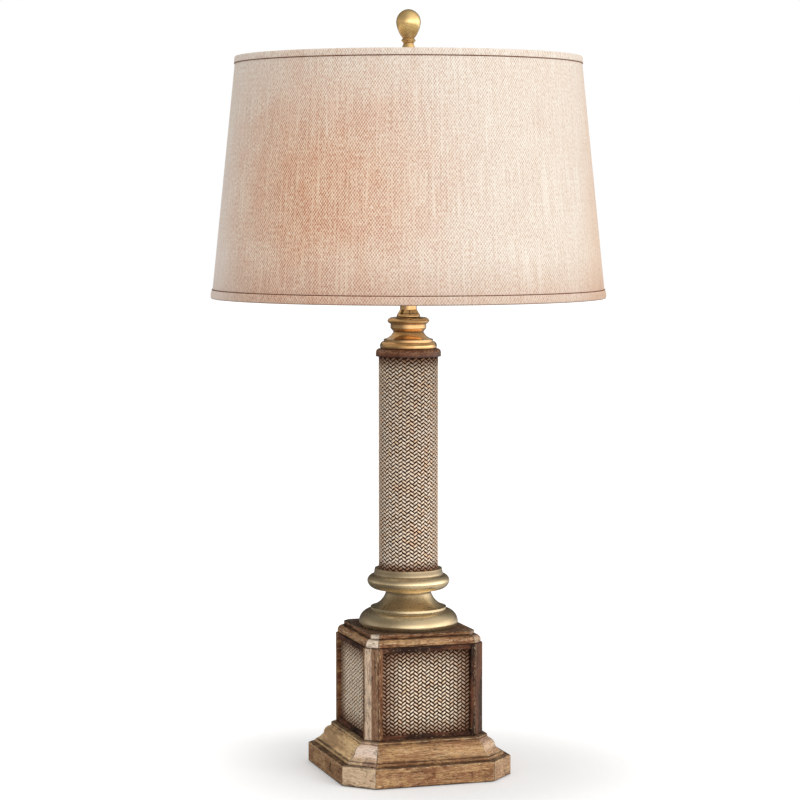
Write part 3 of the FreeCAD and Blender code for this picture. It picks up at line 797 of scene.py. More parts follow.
@dataclass(frozen=True)
class Linen:
    """Plain woven linen with uneven, slubbed threads, drawn on the cloth's own chart in metres.

    The cloth is cream, and peach in a painted pool of warm light at the front left and in warm patches at random.
    """

    name: str = "linen"
    warp_pitch: float = 0.0013983
    weft_pitch: float = 0.00197
    cream: Colour = tint(252, 243, 230)
    cream_low: Colour = tint(232, 212, 194)
    cream_gap: Colour = tint(206, 178, 156)
    peach: Colour = tint(255, 224, 192)
    peach_low: Colour = tint(220, 160, 128)
    peach_gap: Colour = tint(168, 106, 80)
    rosy: Colour = tint(244, 222, 214)
    glint: Colour = tint(255, 250, 240)
    lower_darkening_tint: Colour = tint(238, 226, 220)
    rim_shadow: Colour = tint(112, 74, 54)
    left_edge_highlight: Colour = tint(255, 240, 232)
    right_edge_shade: Colour = tint(248, 234, 222)
    left: tuple[float, float] = (-0.9535, 0.3015)
    left_edge: Step = Step(0.17, 0.2, 0.0, 0.4)
    right_edge: Step = Step(-0.165, -0.195)
    lower_darkening: Step = Step(0.4946, 0.5446, 1.0, 0.0)
    rim: Step = Step(0.4939, 0.4952, 0.85, 0.0)
    warm_place: Direction = (-0.143, -0.126, 0.6)
    warm_reach: float = 0.2
    warm_waver: Cloud = Cloud(14, 4, 0.6)
    warm_drifts: Cloud = Cloud(3.1, 2, 0.5)
    warm_elsewhere: Step = Step(0.5, 0.75, 0.0, 0.16)
    up_slub: Grain = Grain(560, 14, 3, 0.6)
    across_slub: Grain = Grain(12, 480, 3, 0.6)
    upright: Grain = Grain(310, 17, 4, 0.65)
    wander: Grain = Grain(45, 45, 2, 0.5)
    knot: Grain = Grain(420, 330, 2, 0.7)
    drift: Grain = Grain(34, 26, 3, 0.6)
    stains: Grain = Grain(46, 30, 5, 0.66)
    wander_by: float = 2.6
    knotted: float = 2.9
    slanting: Step = Step(0.4, 0.64, 0.0, 0.2)
    warp_on_top: Step = Step(-0.35, 0.45)
    gaps: Step = Step(-0.3, -1.05)

    def warm_light_and_patches(self, sheet: FinishSheet) -> Socket:
        """How warm the cloth is, from 0 to 1: a painted pool of warm light round one place, and warm patches at
        random.

        Args:
            sheet: the finish's nodes.

        Returns:
            The warmth.
        """
        place = sheet.place()
        waver = sheet.noise(place, self.warm_waver)
        reach = sheet.swayed(sheet.measure("DISTANCE", place, self.warm_place), (waver, 0.05))
        # A painted pool of warm light round the given place.
        near = sheet.fade(reach, Step(0.0, self.warm_reach, 1.0, 0.0))
        return sheet.most(near, sheet.fade(sheet.noise(place, self.warm_drifts), self.warm_elsewhere))

    def weave(self, sheet: FinishSheet, chart: Socket) -> tuple[Socket, Socket]:
        """Crosses the threads: how high the cloth lies, and how high the warp lies over the weft.

        Args:
            sheet: the cloth's nodes.
            chart: its chart.

        Returns:
            The even crossing, and the uneven one.
        """
        u, v, _ = sheet.parts(chart)
        wander = sheet.calc("SUBTRACT", sheet.grain(chart, self.wander), 0.5)
        swing = sheet.times(wander, self.wander_by)
        warp_turn = sheet.summed(swing, (u, math.pi / self.warp_pitch))
        weft_turn = sheet.summed(swing, (v, math.pi / self.weft_pitch))
        over = sheet.times(sheet.calc("SINE", warp_turn), sheet.calc("SINE", weft_turn))
        slant = sheet.calc("COSINE", sheet.calc("SUBTRACT", warp_turn, weft_turn))
        slant = sheet.times(slant, sheet.fade(sheet.grain(chart, self.drift), self.slanting))
        uneven = sheet.swayed(sheet.summed(slant, (over, 0.75)), (sheet.grain(chart, self.knot), self.knotted))
        return over, uneven

    def build(self) -> bpy.types.Material:
        """Makes the material.

        Returns:
            The material.
        """
        sheet = FinishSheet(self.name)
        chart = sheet.chart("cloth")
        over, uneven = self.weave(sheet, chart)
        up_slub = sheet.grain(chart, self.up_slub)
        across_slub = sheet.grain(chart, self.across_slub)
        upright = sheet.grain(chart, self.upright)
        warm = self.warm_light_and_patches(sheet)
        light = sheet.blend(warm, self.cream, self.peach)
        low = sheet.blend(warm, self.cream_low, self.peach_low)
        deep = sheet.blend(warm, self.cream_gap, self.peach_gap)
        cloth = sheet.coat(low, light, uneven, self.warp_on_top)
        cloth = sheet.blend(sheet.times(sheet.fade(uneven, self.gaps), 0.85), cloth, deep)
        threads = (
            (up_slub, Step(0.53, 0.66, 0.0, 0.75), light),
            (upright, Step(0.54, 0.7, 0.0, 0.4), light),
            (up_slub, Step(0.45, 0.33, 0.0, 0.26), deep),
            (across_slub, Step(0.56, 0.7, 0.0, 0.24), light),
            (across_slub, Step(0.41, 0.3, 0.0, 0.16), deep),
            (uneven, Step(0.7, 1.1, 0.0, 0.85), self.glint),
        )
        for value, step, colour in threads:
            cloth = sheet.coat(cloth, colour, value, step)
        stain = Step(0.4, 0.62, 0.0, sheet.summed(0.15, (warm, 0.35)))
        cloth = sheet.coat(cloth, self.rosy, sheet.grain(chart, self.stains), stain, "MULTIPLY")
        x, y, z = sheet.parts(sheet.place())
        leftward = sheet.summed(sheet.times(y, self.left[1]), (x, self.left[0]))
        # Darker towards the bottom.
        cloth = sheet.coat(cloth, self.lower_darkening_tint, z, self.lower_darkening, "MULTIPLY")
        # Painted highlight towards the left edge, and painted shade towards the right edge.
        cloth = sheet.coat(cloth, self.left_edge_highlight, leftward, self.left_edge)
        cloth = sheet.coat(cloth, self.right_edge_shade, leftward, self.right_edge, "MULTIPLY")
        # Painted shadow along the lower rim.
        cloth = sheet.coat(cloth, self.rim_shadow, z, self.rim)
        relief = sheet.summed(sheet.summed(0.5, (over, 0.5)), (up_slub, 0.6), (across_slub, 0.4))
        return sheet.set(Base_Color=cloth, Roughness=0.88, Specular_IOR_Level=0.2, Sheen_Weight=0.22,
                         Sheen_Roughness=0.4, Normal=sheet.bump(relief, 0.0003, 0.55))


@dataclass(frozen=True)
class WovenStrand:
    """Pale split cane, toned strand by strand, with dark glaze left along its sides and ends.

    Steps of the height, of the nearness to a panel's side and of the turn round the column darken it: painted
    shade.
    """

    name: str
    deep: Colour
    bright: Colour
    height_shade: tuple[Step, ...]
    body: Colour = tint(255, 225, 194)
    glaze: Colour = tint(48, 22, 11)
    painted_shade_tint: Colour = tint(130, 94, 70)
    side_shade: Step | None = None
    flank_shade: Step | None = None
    across: tuple[float, float] = (-0.9535, 0.3015)
    glaze_left: Step = Step(0.18, 0.55, 0.95, 0.0)
    streaks: Cloud = Cloud(700, 3, 0.6)
    patches: Cloud = Cloud(34, 4, 0.6)
    gloss: float = 0.06

    def build(self) -> bpy.types.Material:
        """Makes the material.

        Returns:
            The material.
        """
        sheet = FinishSheet(self.name)
        place = sheet.place()
        x, y, z = sheet.parts(place)
        streak = sheet.noise(place, self.streaks)
        lit = sheet.swayed(sheet.mark("tone"), (sheet.noise(place, self.patches), 0.35), (streak, 0.3))
        colour = sheet.ramp(lit, (0.05, self.deep), (0.35, self.body), (0.75, self.bright))
        fades = [(z, step) for step in self.height_shade]
        if self.side_shade:
            near = sheet.calc("MINIMUM", sheet.calc("ABSOLUTE", x), sheet.calc("ABSOLUTE", y))
            fades.append((near, self.side_shade))
        if self.flank_shade:
            out = sheet.summed(sheet.times(y, self.across[1]), (x, self.across[0]))
            fades.append((sheet.calc("ABSOLUTE", out), self.flank_shade))
        # Painted shade: darker near the column's ends, a panel's edges and the column's flanks.
        for value, step in fades:
            colour = sheet.coat(colour, self.painted_shade_tint, value, step, "MULTIPLY")
        colour = sheet.coat(colour, self.glaze, sheet.mark("rise"), self.glaze_left)
        return sheet.set(Base_Color=colour, Roughness=0.6, Specular_IOR_Level=self.gloss,
                         Normal=sheet.bump(streak, 0.0002, 0.4))


@dataclass(frozen=True)
class PlainFinish:
    """A finish with a cloudy tone, a fine grain and its own gloss."""

    name: str
    colour: Colour
    shade: Colour
    roughness: float
    metallic: float = 0.0
    grain: float = 600.0
    relief: float = 0.0001
    stretch: Direction = (1.0, 1.0, 1.0)
    gloss: float = 0.5
    clouds: Cloud = Cloud(60, 4, 0.6)

    def build(self) -> bpy.types.Material:
        """Makes the material.

        Returns:
            The material.
        """
        sheet = FinishSheet(self.name)
        place = sheet.scaled(sheet.place(), *self.stretch)
        grain = sheet.noise(place, Cloud(self.grain, 3, 0.6))
        mixed = sheet.summed(sheet.times(sheet.noise(place, self.clouds), 0.5), (grain, 0.5))
        return sheet.set(
            Base_Color=sheet.coat(self.shade, self.colour, mixed, Step(0.3, 0.7)),
            Metallic=self.metallic,
            Specular_IOR_Level=self.gloss,
            Roughness=sheet.fade(mixed, Step(0.3, 0.7, self.roughness + 0.08, self.roughness - 0.06)),
            Normal=sheet.bump(grain, self.relief, 0.5),
        )


@dataclass(frozen=True)
class FrostedGlass:
    """White frosted bulb glass."""

    name: str = "frosted_glass"
    mist: Cloud = Cloud(900, 2, 0.5)

    def build(self) -> bpy.types.Material:
        """Makes the material.

        Returns:
            The material.
        """
        sheet = FinishSheet(self.name)
        mist = sheet.noise(sheet.place(), self.mist)
        return sheet.set(
            Base_Color=tint(252, 251, 247),
            Roughness=sheet.fade(mist, Step(0.3, 0.7, 0.42, 0.32)),
            Transmission_Weight=0.1,
            IOR=1.5,
            Subsurface_Weight=0.2,
            Normal=sheet.bump(mist, 0.00005, 0.3),
        )


class Edge(Enum):
    """How far a solid's sharp edges are eased."""

    LEFT = 0.0
    EASED = 0.0003
    WORN = 0.0007


def carry_over(node: str, material: bpy.types.Material, edge: Edge = Edge.LEFT) -> bpy.types.Object:
    """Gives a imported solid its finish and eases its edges.

    Args:
        node: the solid's name.
        material: its finish.
        edge: how far its sharp edges are eased.

    Returns:
        The solid's object.
    """
    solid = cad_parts[node]
    solid.data.materials.clear()
    solid.data.materials.append(material)
    if edge is not Edge.LEFT:
        weld = solid.modifiers.new("closed_corners", "WELD")
        weld.merge_threshold = WELDED
        eased = solid.modifiers.new("eased_edges", "BEVEL")
        eased.width = edge.value
        eased.segments = 2
        eased.limit_method = "ANGLE"
        eased.angle_limit = math.radians(32)
        eased.harden_normals = True
    return solid


def piece_from(bm: bmesh.types.BMesh, name: str, body: str, slot: str, material: bpy.types.Material,
               *nodes: str) -> bpy.types.Object:
    """Turns a finished bmesh into a piece that rides on a body.

    Args:
        bm: the mesh, already in its place; it is freed here.
        name: the piece's name.
        body: the body that it moves with.
        slot: not used.
        material: its finish.
        nodes: the solids that it stands for.

    Returns:
        The new object.
    """
    mesh = bpy.data.meshes.new(name)
    bm.to_mesh(mesh)
    bm.free()
    mesh.materials.append(material)
    piece = bpy.data.objects.new(name, mesh)
    bpy.context.scene.collection.objects.link(piece)
    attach(piece, body)
    if nodes:
        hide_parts(*nodes)
    return piece


def smoothed(bm: bmesh.types.BMesh, smooth: bool = True) -> bmesh.types.BMesh:
    """Shades every face of a mesh as round, or as flat.

    Args:
        bm: the mesh.
        smooth: whether its faces are round.

    Returns:
        The same mesh.
    """
    for face in bm.faces:
        face.smooth = smooth
    return bm


def spun(bm: bmesh.types.BMesh, steps: int) -> bmesh.types.BMesh:
    """Spins an outline about the lamp's axis.

    Args:
        bm: the outline.
        steps: how many flats go round.

    Returns:
        The same bmesh, closed and merged, with its faces outwards.
    """
    bmesh.ops.spin(bm, geom=bm.verts[:] + bm.edges[:], axis=(0, 0, 1), cent=(0, 0, 0), steps=steps,
                   angle=2 * math.pi, use_merge=True)
    bmesh.ops.remove_doubles(bm, verts=bm.verts, dist=SPIN_WELDED)
    bmesh.ops.recalc_face_normals(bm, faces=bm.faces)
    return smoothed(bm)


def turned(profile: Sequence[tuple[float, float]], steps: int) -> bmesh.types.BMesh:
    """Turns a closed profile about the lamp's axis.

    Args:
        profile: points of (radius, height), in order.
        steps: how many flats go round.

    Returns:
        The turned mesh.
    """
    bm = bmesh.new()
    points = [bm.verts.new((radius, 0.0, height)) for radius, height in profile]
    for pair in zip(points, points[1:]):
        bm.edges.new(pair)
    bm.edges.new((points[-1], points[0]))
    return spun(bm, steps)


def creased(bm: bmesh.types.BMesh) -> bmesh.types.BMesh:
    """Keeps a crease wherever two faces of a mesh meet at a sharp angle.

    Args:
        bm: the mesh.

    Returns:
        The same mesh.
    """
    for edge in bm.edges:
        edge.smooth = not (edge.is_manifold and edge.calc_face_angle(0.0) > CREASE)
    return bm


def node_copy(node: str) -> bmesh.types.BMesh:
    """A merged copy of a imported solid's mesh, to be reshaped.

    Args:
        node: the solid's name.

    Returns:
        The copy, with its faces flat.
    """
    bm = bmesh.new()
    bm.from_mesh(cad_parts[node].data)
    bmesh.ops.remove_doubles(bm, verts=bm.verts, dist=WELDED)
    bmesh.ops.recalc_face_normals(bm, faces=bm.faces)
    return smoothed(bm, False)


@dataclass
class Herringbone:
    """The weave: columns of short strands that lean one way and then the other.

    What is named play is how far one strand may differ from the next.
    """

    column_width: float
    pitch: float = 0.00402
    lean: float = 33.0
    length: float = 0.0046
    width: float = 0.00205
    depth: float = 0.0011
    crown: float = 0.00035
    end_drop: float = 1.6
    middle_rise: float = 0.6
    taper: float = 0.3
    eased: float = 0.27
    lean_play: float = 3.5
    length_play: tuple[float, float] = (0.92, 1.06)
    width_play: tuple[float, float] = (0.9, 1.1)
    place_play: Direction = (0.0001, 0.00006, 0.00014)
    tone: float = 0.58
    tone_play: float = 0.15
    seed: int = 7

    def strand(self) -> bmesh.types.BMesh:
        """One strand along X with its face towards -Y: a crowned bar with eased edges.

        Returns:
            The strand, with the attributes tone and rise.
        """
        bm = bmesh.new()
        rise = bm.verts.layers.float.new("rise")
        bm.verts.layers.float.new("tone")
        bmesh.ops.create_cube(bm, size=1.0)
        bmesh.ops.scale(bm, vec=(self.length, self.depth, self.width), verts=bm.verts)
        long_edges = [edge for edge in bm.edges
                      if abs(edge.verts[0].co.x - edge.verts[1].co.x) > self.length / 2]
        bmesh.ops.subdivide_edges(bm, edges=long_edges, cuts=2, use_grid_fill=True)
        for vert in bm.verts:
            if vert.co.y < 0:
                reach = abs(vert.co.x) / (self.length / 2)
                vert.co.y += self.crown * (self.end_drop * reach ** 2 - self.middle_rise)
                vert.co.z *= 1.0 - self.taper * reach ** 2
        front = [edge for edge in bm.edges if all(vert.co.y < 0 for vert in edge.verts)
                 and edge.calc_face_angle(0.0) > math.radians(45)]
        bmesh.ops.bevel(bm, geom=front, affect="EDGES", offset=self.width * self.eased, segments=1,
                        profile=0.5, material=-1)
        low = max(vert.co.y for vert in bm.verts)
        high = min(vert.co.y for vert in bm.verts)
        for vert in bm.verts:
            vert[rise] = (low - vert.co.y) / (low - high)
        return smoothed(bm)

    def laid(self, rng: random.Random, column: int, columns: int, row: int, rows: int) -> Matrix:
        """Draws how one strand lies in a field that is centred on the origin.

        Args:
            rng: the source of the strand's play.
            column: the strand's column.
            columns: how many columns there are.
            row: its row.
            rows: how many rows there are.

        Returns:
            The strand's place.
        """
        leaning = 1 if column % 2 else -1
        across = (column - (columns - 1) / 2) * self.column_width
        up = (row - (rows - 1) / 2 + 0.5 * (column % 2) - 0.25) * self.pitch
        angle = math.radians(-leaning * (self.lean + rng.uniform(-self.lean_play, self.lean_play)))
        size = Vector((rng.uniform(*self.length_play), 1.0, rng.uniform(*self.width_play), 1.0))
        shift = Vector([start + rng.uniform(-1, 1) * play
                        for start, play in zip((across, 0.0, up), self.place_play)])
        return Matrix.Translation(shift) @ Matrix.Rotation(angle, 4, "Y") @ Matrix.Diagonal(size)

    def flat(self, columns: int, rows: int) -> bmesh.types.BMesh:
        """Lays strands over a flat field in the XZ plane, centred on the origin.

        Args:
            columns: how many columns of strands stand side by side.
            rows: how many strands stand over each other.

        Returns:
            The field, with the attributes tone and rise on its points.
        """
        rng = random.Random(self.seed)
        template = self.strand()
        field_mesh = bmesh.new()
        scratch = bpy.data.meshes.new("strand_copy")
        for column in range(columns):
            for row in range(rows):
                place = self.laid(rng, column, columns, row, rows)
                tone = min(1.0, max(0.0, rng.gauss(self.tone, self.tone_play)))
                copy = template.copy()
                layer = copy.verts.layers.float["tone"]
                for vert in copy.verts:
                    vert[layer] = tone
                bmesh.ops.transform(copy, matrix=place, verts=copy.verts)
                copy.to_mesh(scratch)
                copy.free()
                field_mesh.from_mesh(scratch)
        template.free()
        bpy.data.meshes.remove(scratch)
        return field_mesh


@dataclass
class Shade:
    """The drum shade: linen over a white liner, with a tape folded round each rim.

    The turn-in is how a tape goes on inside its rim: insets from the linen, with how far each lies past it.
    """

    bottom_radius: float = 0.2032
    top_radius: float = 0.1778
    low: float = 0.4946
    high: float = 0.7404
    linen_thick: float = 0.0005
    wall: float = 0.0013
    flats: int = 192
    rows: int = 28
    chart_slope: float = 0.4
    fold: float = 0.0008
    turn_in: tuple[tuple[float, float], ...] = ((0.0014, 0.00088), (0.0026, 0.00064), (0.0028, 0.0001),
                                                (0.0002, 0.0001))
    band_steps: int = 12
    band_round: float = 0.6
    band_foot: tuple[float, float] = (0.0002, 0.98)
    belly_top: float = 0.001
    belly_bottom: float = 0.0014
    tape_top: float = 0.006
    tape_bottom: float = 0.008
    tape_top_cut: float = 0.0105
    tape_bottom_cut: float = 0.0125
    seam_half: float = 0.00045
    seam_proud: float = 0.0003
    seam_gap: float = 0.0003
    rim_shadow_drop: float = 0.0002
    lap_width: float = 0.014
    lap_thick: float = 0.0005
    lap_under: float = 0.6
    lap_bond: float = 1.3

    def radius(self, height: float, inset: float = 0.0) -> float:
        """The linen's outer radius at a height, less an inset."""
        share = (height - self.low) / (self.high - self.low)
        return self.bottom_radius + (self.top_radius - self.bottom_radius) * share - inset

    def chart(self, bm: bmesh.types.BMesh) -> bmesh.types.BMesh:
        """Lays the cloth's chart on a turned mesh, round the shade and up it, in metres.

        Args:
            bm: the mesh.

        Returns:
            The same mesh.
        """
        layer = bm.loops.layers.uv.new("cloth")
        mean = (self.bottom_radius + self.top_radius) / 2
        for face in bm.faces:
            angles = [math.atan2(loop.vert.co.x, -loop.vert.co.y) for loop in face.loops]
            wraps = max(angles) - min(angles) > math.pi
            for loop, angle in zip(face.loops, angles):
                turn = angle + 2 * math.pi if wraps and angle < 0 else angle
                slope = math.hypot(loop.vert.co.x, loop.vert.co.y) * self.chart_slope
                loop[layer].uv = (turn * mean, loop.vert.co.z + slope)
        return bm

    def skin(self, outer: float, thick: float) -> bmesh.types.BMesh:
        """A tapered sleeve whose outside lies an inset inside the linen's outside.

        Args:
            outer: the inset of its outside.
            thick: its thickness.

        Returns:
            The sleeve, charted.
        """
        heights = [self.low + (self.high - self.low) * row / self.rows for row in range(self.rows + 1)]
        profile = [(self.radius(height, outer + thick), height) for height in reversed(heights)]
        profile += [(self.radius(height, outer), height) for height in heights]
        return creased(self.chart(turned(profile, self.flats)))

    def tape(self, rim: float, band: float, way: int, belly: float) -> bmesh.types.BMesh:
        """A padded tape folded over a rim: a rounded band outside and a short turn-in.

        Args:
            rim: the rim's height.
            band: how far the band reaches from the rim along the outside.
            way: +1 for the upper rim, -1 for the lower.
            belly: how far its middle stands proud.

        Returns:
            The tape, charted.
        """
        profile: list[tuple[float, float]] = []
        for step in range(self.band_steps + 1):
            turn = math.pi * step / self.band_steps
            height = rim + way * (self.fold - (band + self.fold) * (1 + math.cos(turn)) / 2)
            profile.append((self.radius(height, -belly * math.sin(turn) ** self.band_round), height))
        profile += [(self.radius(rim, inset), rim + way * past) for inset, past in self.turn_in]
        inset, share = self.band_foot
        profile.append((self.radius(rim - way * band, inset), rim - way * band * share))
        return self.chart(turned(profile, self.flats))

    def seam(self, height: float) -> bmesh.types.BMesh:
        """The dark thread that lies along a tape's edge.

        Args:
            height: the thread's height.

        Returns:
            The thread.
        """
        bm = bmesh.new()
        bmesh.ops.create_circle(bm, cap_ends=False, radius=self.seam_half, segments=8)
        bmesh.ops.rotate(bm, cent=(0, 0, 0), matrix=Matrix.Rotation(math.pi / 2, 3, "X"), verts=bm.verts)
        bmesh.ops.translate(bm, vec=(self.radius(height, -self.seam_proud), 0, height), verts=bm.verts)
        return spun(bm, self.flats)

    def lap(self) -> bmesh.types.BMesh:
        """The linen's upright lap seam at the back, between the two tapes.

        Returns:
            The seam, charted.
        """
        bm = bmesh.new()
        bmesh.ops.create_grid(bm, x_segments=4, y_segments=self.rows, size=0.5)
        low = self.low + self.tape_bottom * self.lap_under
        high = self.high - self.tape_top * self.lap_under
        for vert in bm.verts:
            height = low + (high - low) * (vert.co.y + 0.5)
            turn = vert.co.x * self.lap_width / self.bottom_radius
            out = self.radius(height, -self.lap_thick)
            vert.co = Vector((math.sin(turn) * out, math.cos(turn) * out, height))
        bmesh.ops.recalc_face_normals(bm, faces=bm.faces)
        bmesh.ops.solidify(bm, geom=bm.verts[:] + bm.edges[:] + bm.faces[:],
                           thickness=self.lap_thick * self.lap_bond)
        bmesh.ops.recalc_face_normals(bm, faces=bm.faces)
        return self.chart(bm)

    def build(self) -> Pieces:
        """Returns:
            The shade's pieces.
        """
        linen = Linen().build()
        liner = PlainFinish("liner_white", tint(244, 240, 230), tint(232, 226, 214), 0.6, grain=900).build()
        thread = PlainFinish("seam_thread", tint(138, 92, 70), tint(98, 60, 44), 0.8, grain=1500,
                             gloss=0.1).build()
        enamel = PlainFinish("rim_enamel", tint(228, 224, 214), tint(206, 200, 188), 0.4, grain=500).build()
        skin = piece_from(self.skin(0.0, self.linen_thick), "linen_skin", "shade", "shade_linen", linen,
                          "shade_panel")
        lining = piece_from(self.skin(self.linen_thick, self.wall - self.linen_thick), "shade_liner", "shade",
                            "shade_linen", liner)
        top = piece_from(self.tape(self.high, self.tape_top, 1, self.belly_top), "tape_top", "shade",
                         "trim_linen", linen, "trim_top")
        bottom = piece_from(self.tape(self.low, self.tape_bottom, -1, self.belly_bottom), "tape_bottom",
                            "shade", "trim_linen", linen, "trim_bottom")
        heights = {
            "seam_top": self.high - self.tape_top - self.seam_gap,
            "seam_bottom": self.low + self.tape_bottom + self.seam_gap,
            # A dark thread along the lower rim, as painted shadow.
            "rim_shadow_thread": self.low - self.rim_shadow_drop,
        }
        seams = [piece_from(self.seam(height), name, "shade", "trim_linen", thread)
                 for name, height in heights.items()]
        seams.append(piece_from(self.lap(), "lap_seam", "shade", "shade_linen", linen))
        strips = [carry_over(node, enamel) for node in ("top_ring", "bottom_ring")]
        return [skin, lining, top, bottom, *seams, *strips]


@dataclass
class Column:
    """The woven column between its turned brass fittings."""

    radius: float = 0.0305
    low: float = 0.207
    high: float = 0.4333
    columns: int = 48
    proud: float = 0.0001
    ground_radius: float = 0.02965
    ground_thick: float = 0.0008
    ground_flats: int = 96
    strand: WovenStrand = WovenStrand(
        "column_strand", deep=tint(255, 208, 172), bright=tint(255, 237, 216), gloss=0.2,
        height_shade=(Step(0.213, 0.224, 0.9, 0.0), Step(0.4335, 0.418, 0.9, 0.0)),
        flank_shade=Step(0.022, 0.031, 0.0, 0.35),
    )
    ground: PlainFinish = PlainFinish("weave_ground", tint(84, 48, 28), tint(50, 27, 15), 0.9, grain=900,
                                      relief=0.0003, gloss=0.1)

    def wrapped(self, bm: bmesh.types.BMesh) -> bmesh.types.BMesh:
        """Bends a flat weave round the column.

        Args:
            bm: the weave.

        Returns:
            The same mesh.
        """
        middle = (self.low + self.high) / 2
        surface = self.radius + self.proud
        for vert in bm.verts:
            turn = vert.co.x / surface
            out = surface - vert.co.y
            vert.co = Vector((math.sin(turn) * out, -math.cos(turn) * out, vert.co.z + middle))
        return bm

    def build(self) -> Pieces:
        """Makes the weave and the ground that it lies on.

        Returns:
            The column's pieces.
        """
        weave = Herringbone(column_width=2 * math.pi * (self.radius + self.proud) / self.columns)
        rows = int((self.high - self.low) / weave.pitch)
        strands = piece_from(self.wrapped(weave.flat(self.columns, rows)), "column_strands", "base",
                             "woven_cane", self.strand.build())
        inner = self.ground_radius - self.ground_thick
        tube = turned([(self.ground_radius, self.low), (self.ground_radius, self.high),
                       (inner, self.high), (inner, self.low)], self.ground_flats)
        ground = piece_from(creased(tube), "column_ground", "base", "woven_cane", self.ground.build(),
                            "column_weave")
        return [strands, ground]


@dataclass
class Fittings:
    """The turned metal, the wooden ring and the finial."""

    pedestal: AgedBrass = AgedBrass(
        "pedestal_brass", tint(236, 212, 168), tint(212, 182, 136), tint(66, 42, 22), roughness=0.26, cloud=0.35,
        grooves=((0.1519, 0.0012), (0.1688, 0.0010), (0.1872, 0.0011), (0.1906, 0.0008), (0.2058, 0.0010)),
        shadows=((0.2137, 0.003, 0.6), (0.2095, 0.007, 0.68), (0.2035, 0.003, 0.5), (0.1872, 0.0035, 0.4),
                 (0.1605, 0.011, 0.3), (0.1519, 0.0035, 0.6)),
    )
    cap: AgedBrass = AgedBrass(
        "cap_brass", tint(230, 184, 128), tint(182, 130, 78), tint(54, 28, 12), roughness=0.16, cloud=0.55,
        grooves=((0.4411, 0.0009), (0.4509, 0.0006), (0.4588, 0.0007), (0.4623, 0.0006), (0.4669, 0.0006),
                 (0.4737, 0.0009), (0.4778, 0.0006)),
        shadows=((0.4588, 0.0022, 0.4), (0.4669, 0.002, 0.4), (0.4737, 0.002, 0.4)),
    )
    finial: AgedBrass = AgedBrass(
        "finial_brass", tint(255, 220, 152), tint(250, 194, 122), tint(120, 62, 26), roughness=0.27, cloud=0.8,
        grooves=((0.7335, 0.0010), (0.7475, 0.0007), (0.7506, 0.0006), (0.7556, 0.0008), (0.7603, 0.0007)),
        shadows=((0.7622, 0.012, 0.5), (0.748, 0.003, 0.3)), metallic=0.78,
    )
    ring: TurnedWood = TurnedWood("ring_wood")

    def build(self) -> Pieces:
        """Dresses each fitting.

        Returns:
            The fittings.
        """
        cap = self.cap.build()
        return [
            carry_over("pedestal", self.pedestal.build()),
            carry_over("column_cap", cap),
            carry_over("neck", cap),
            carry_over("finial", self.finial.build()),
            carry_over("column_ring", self.ring.build()),
        ]


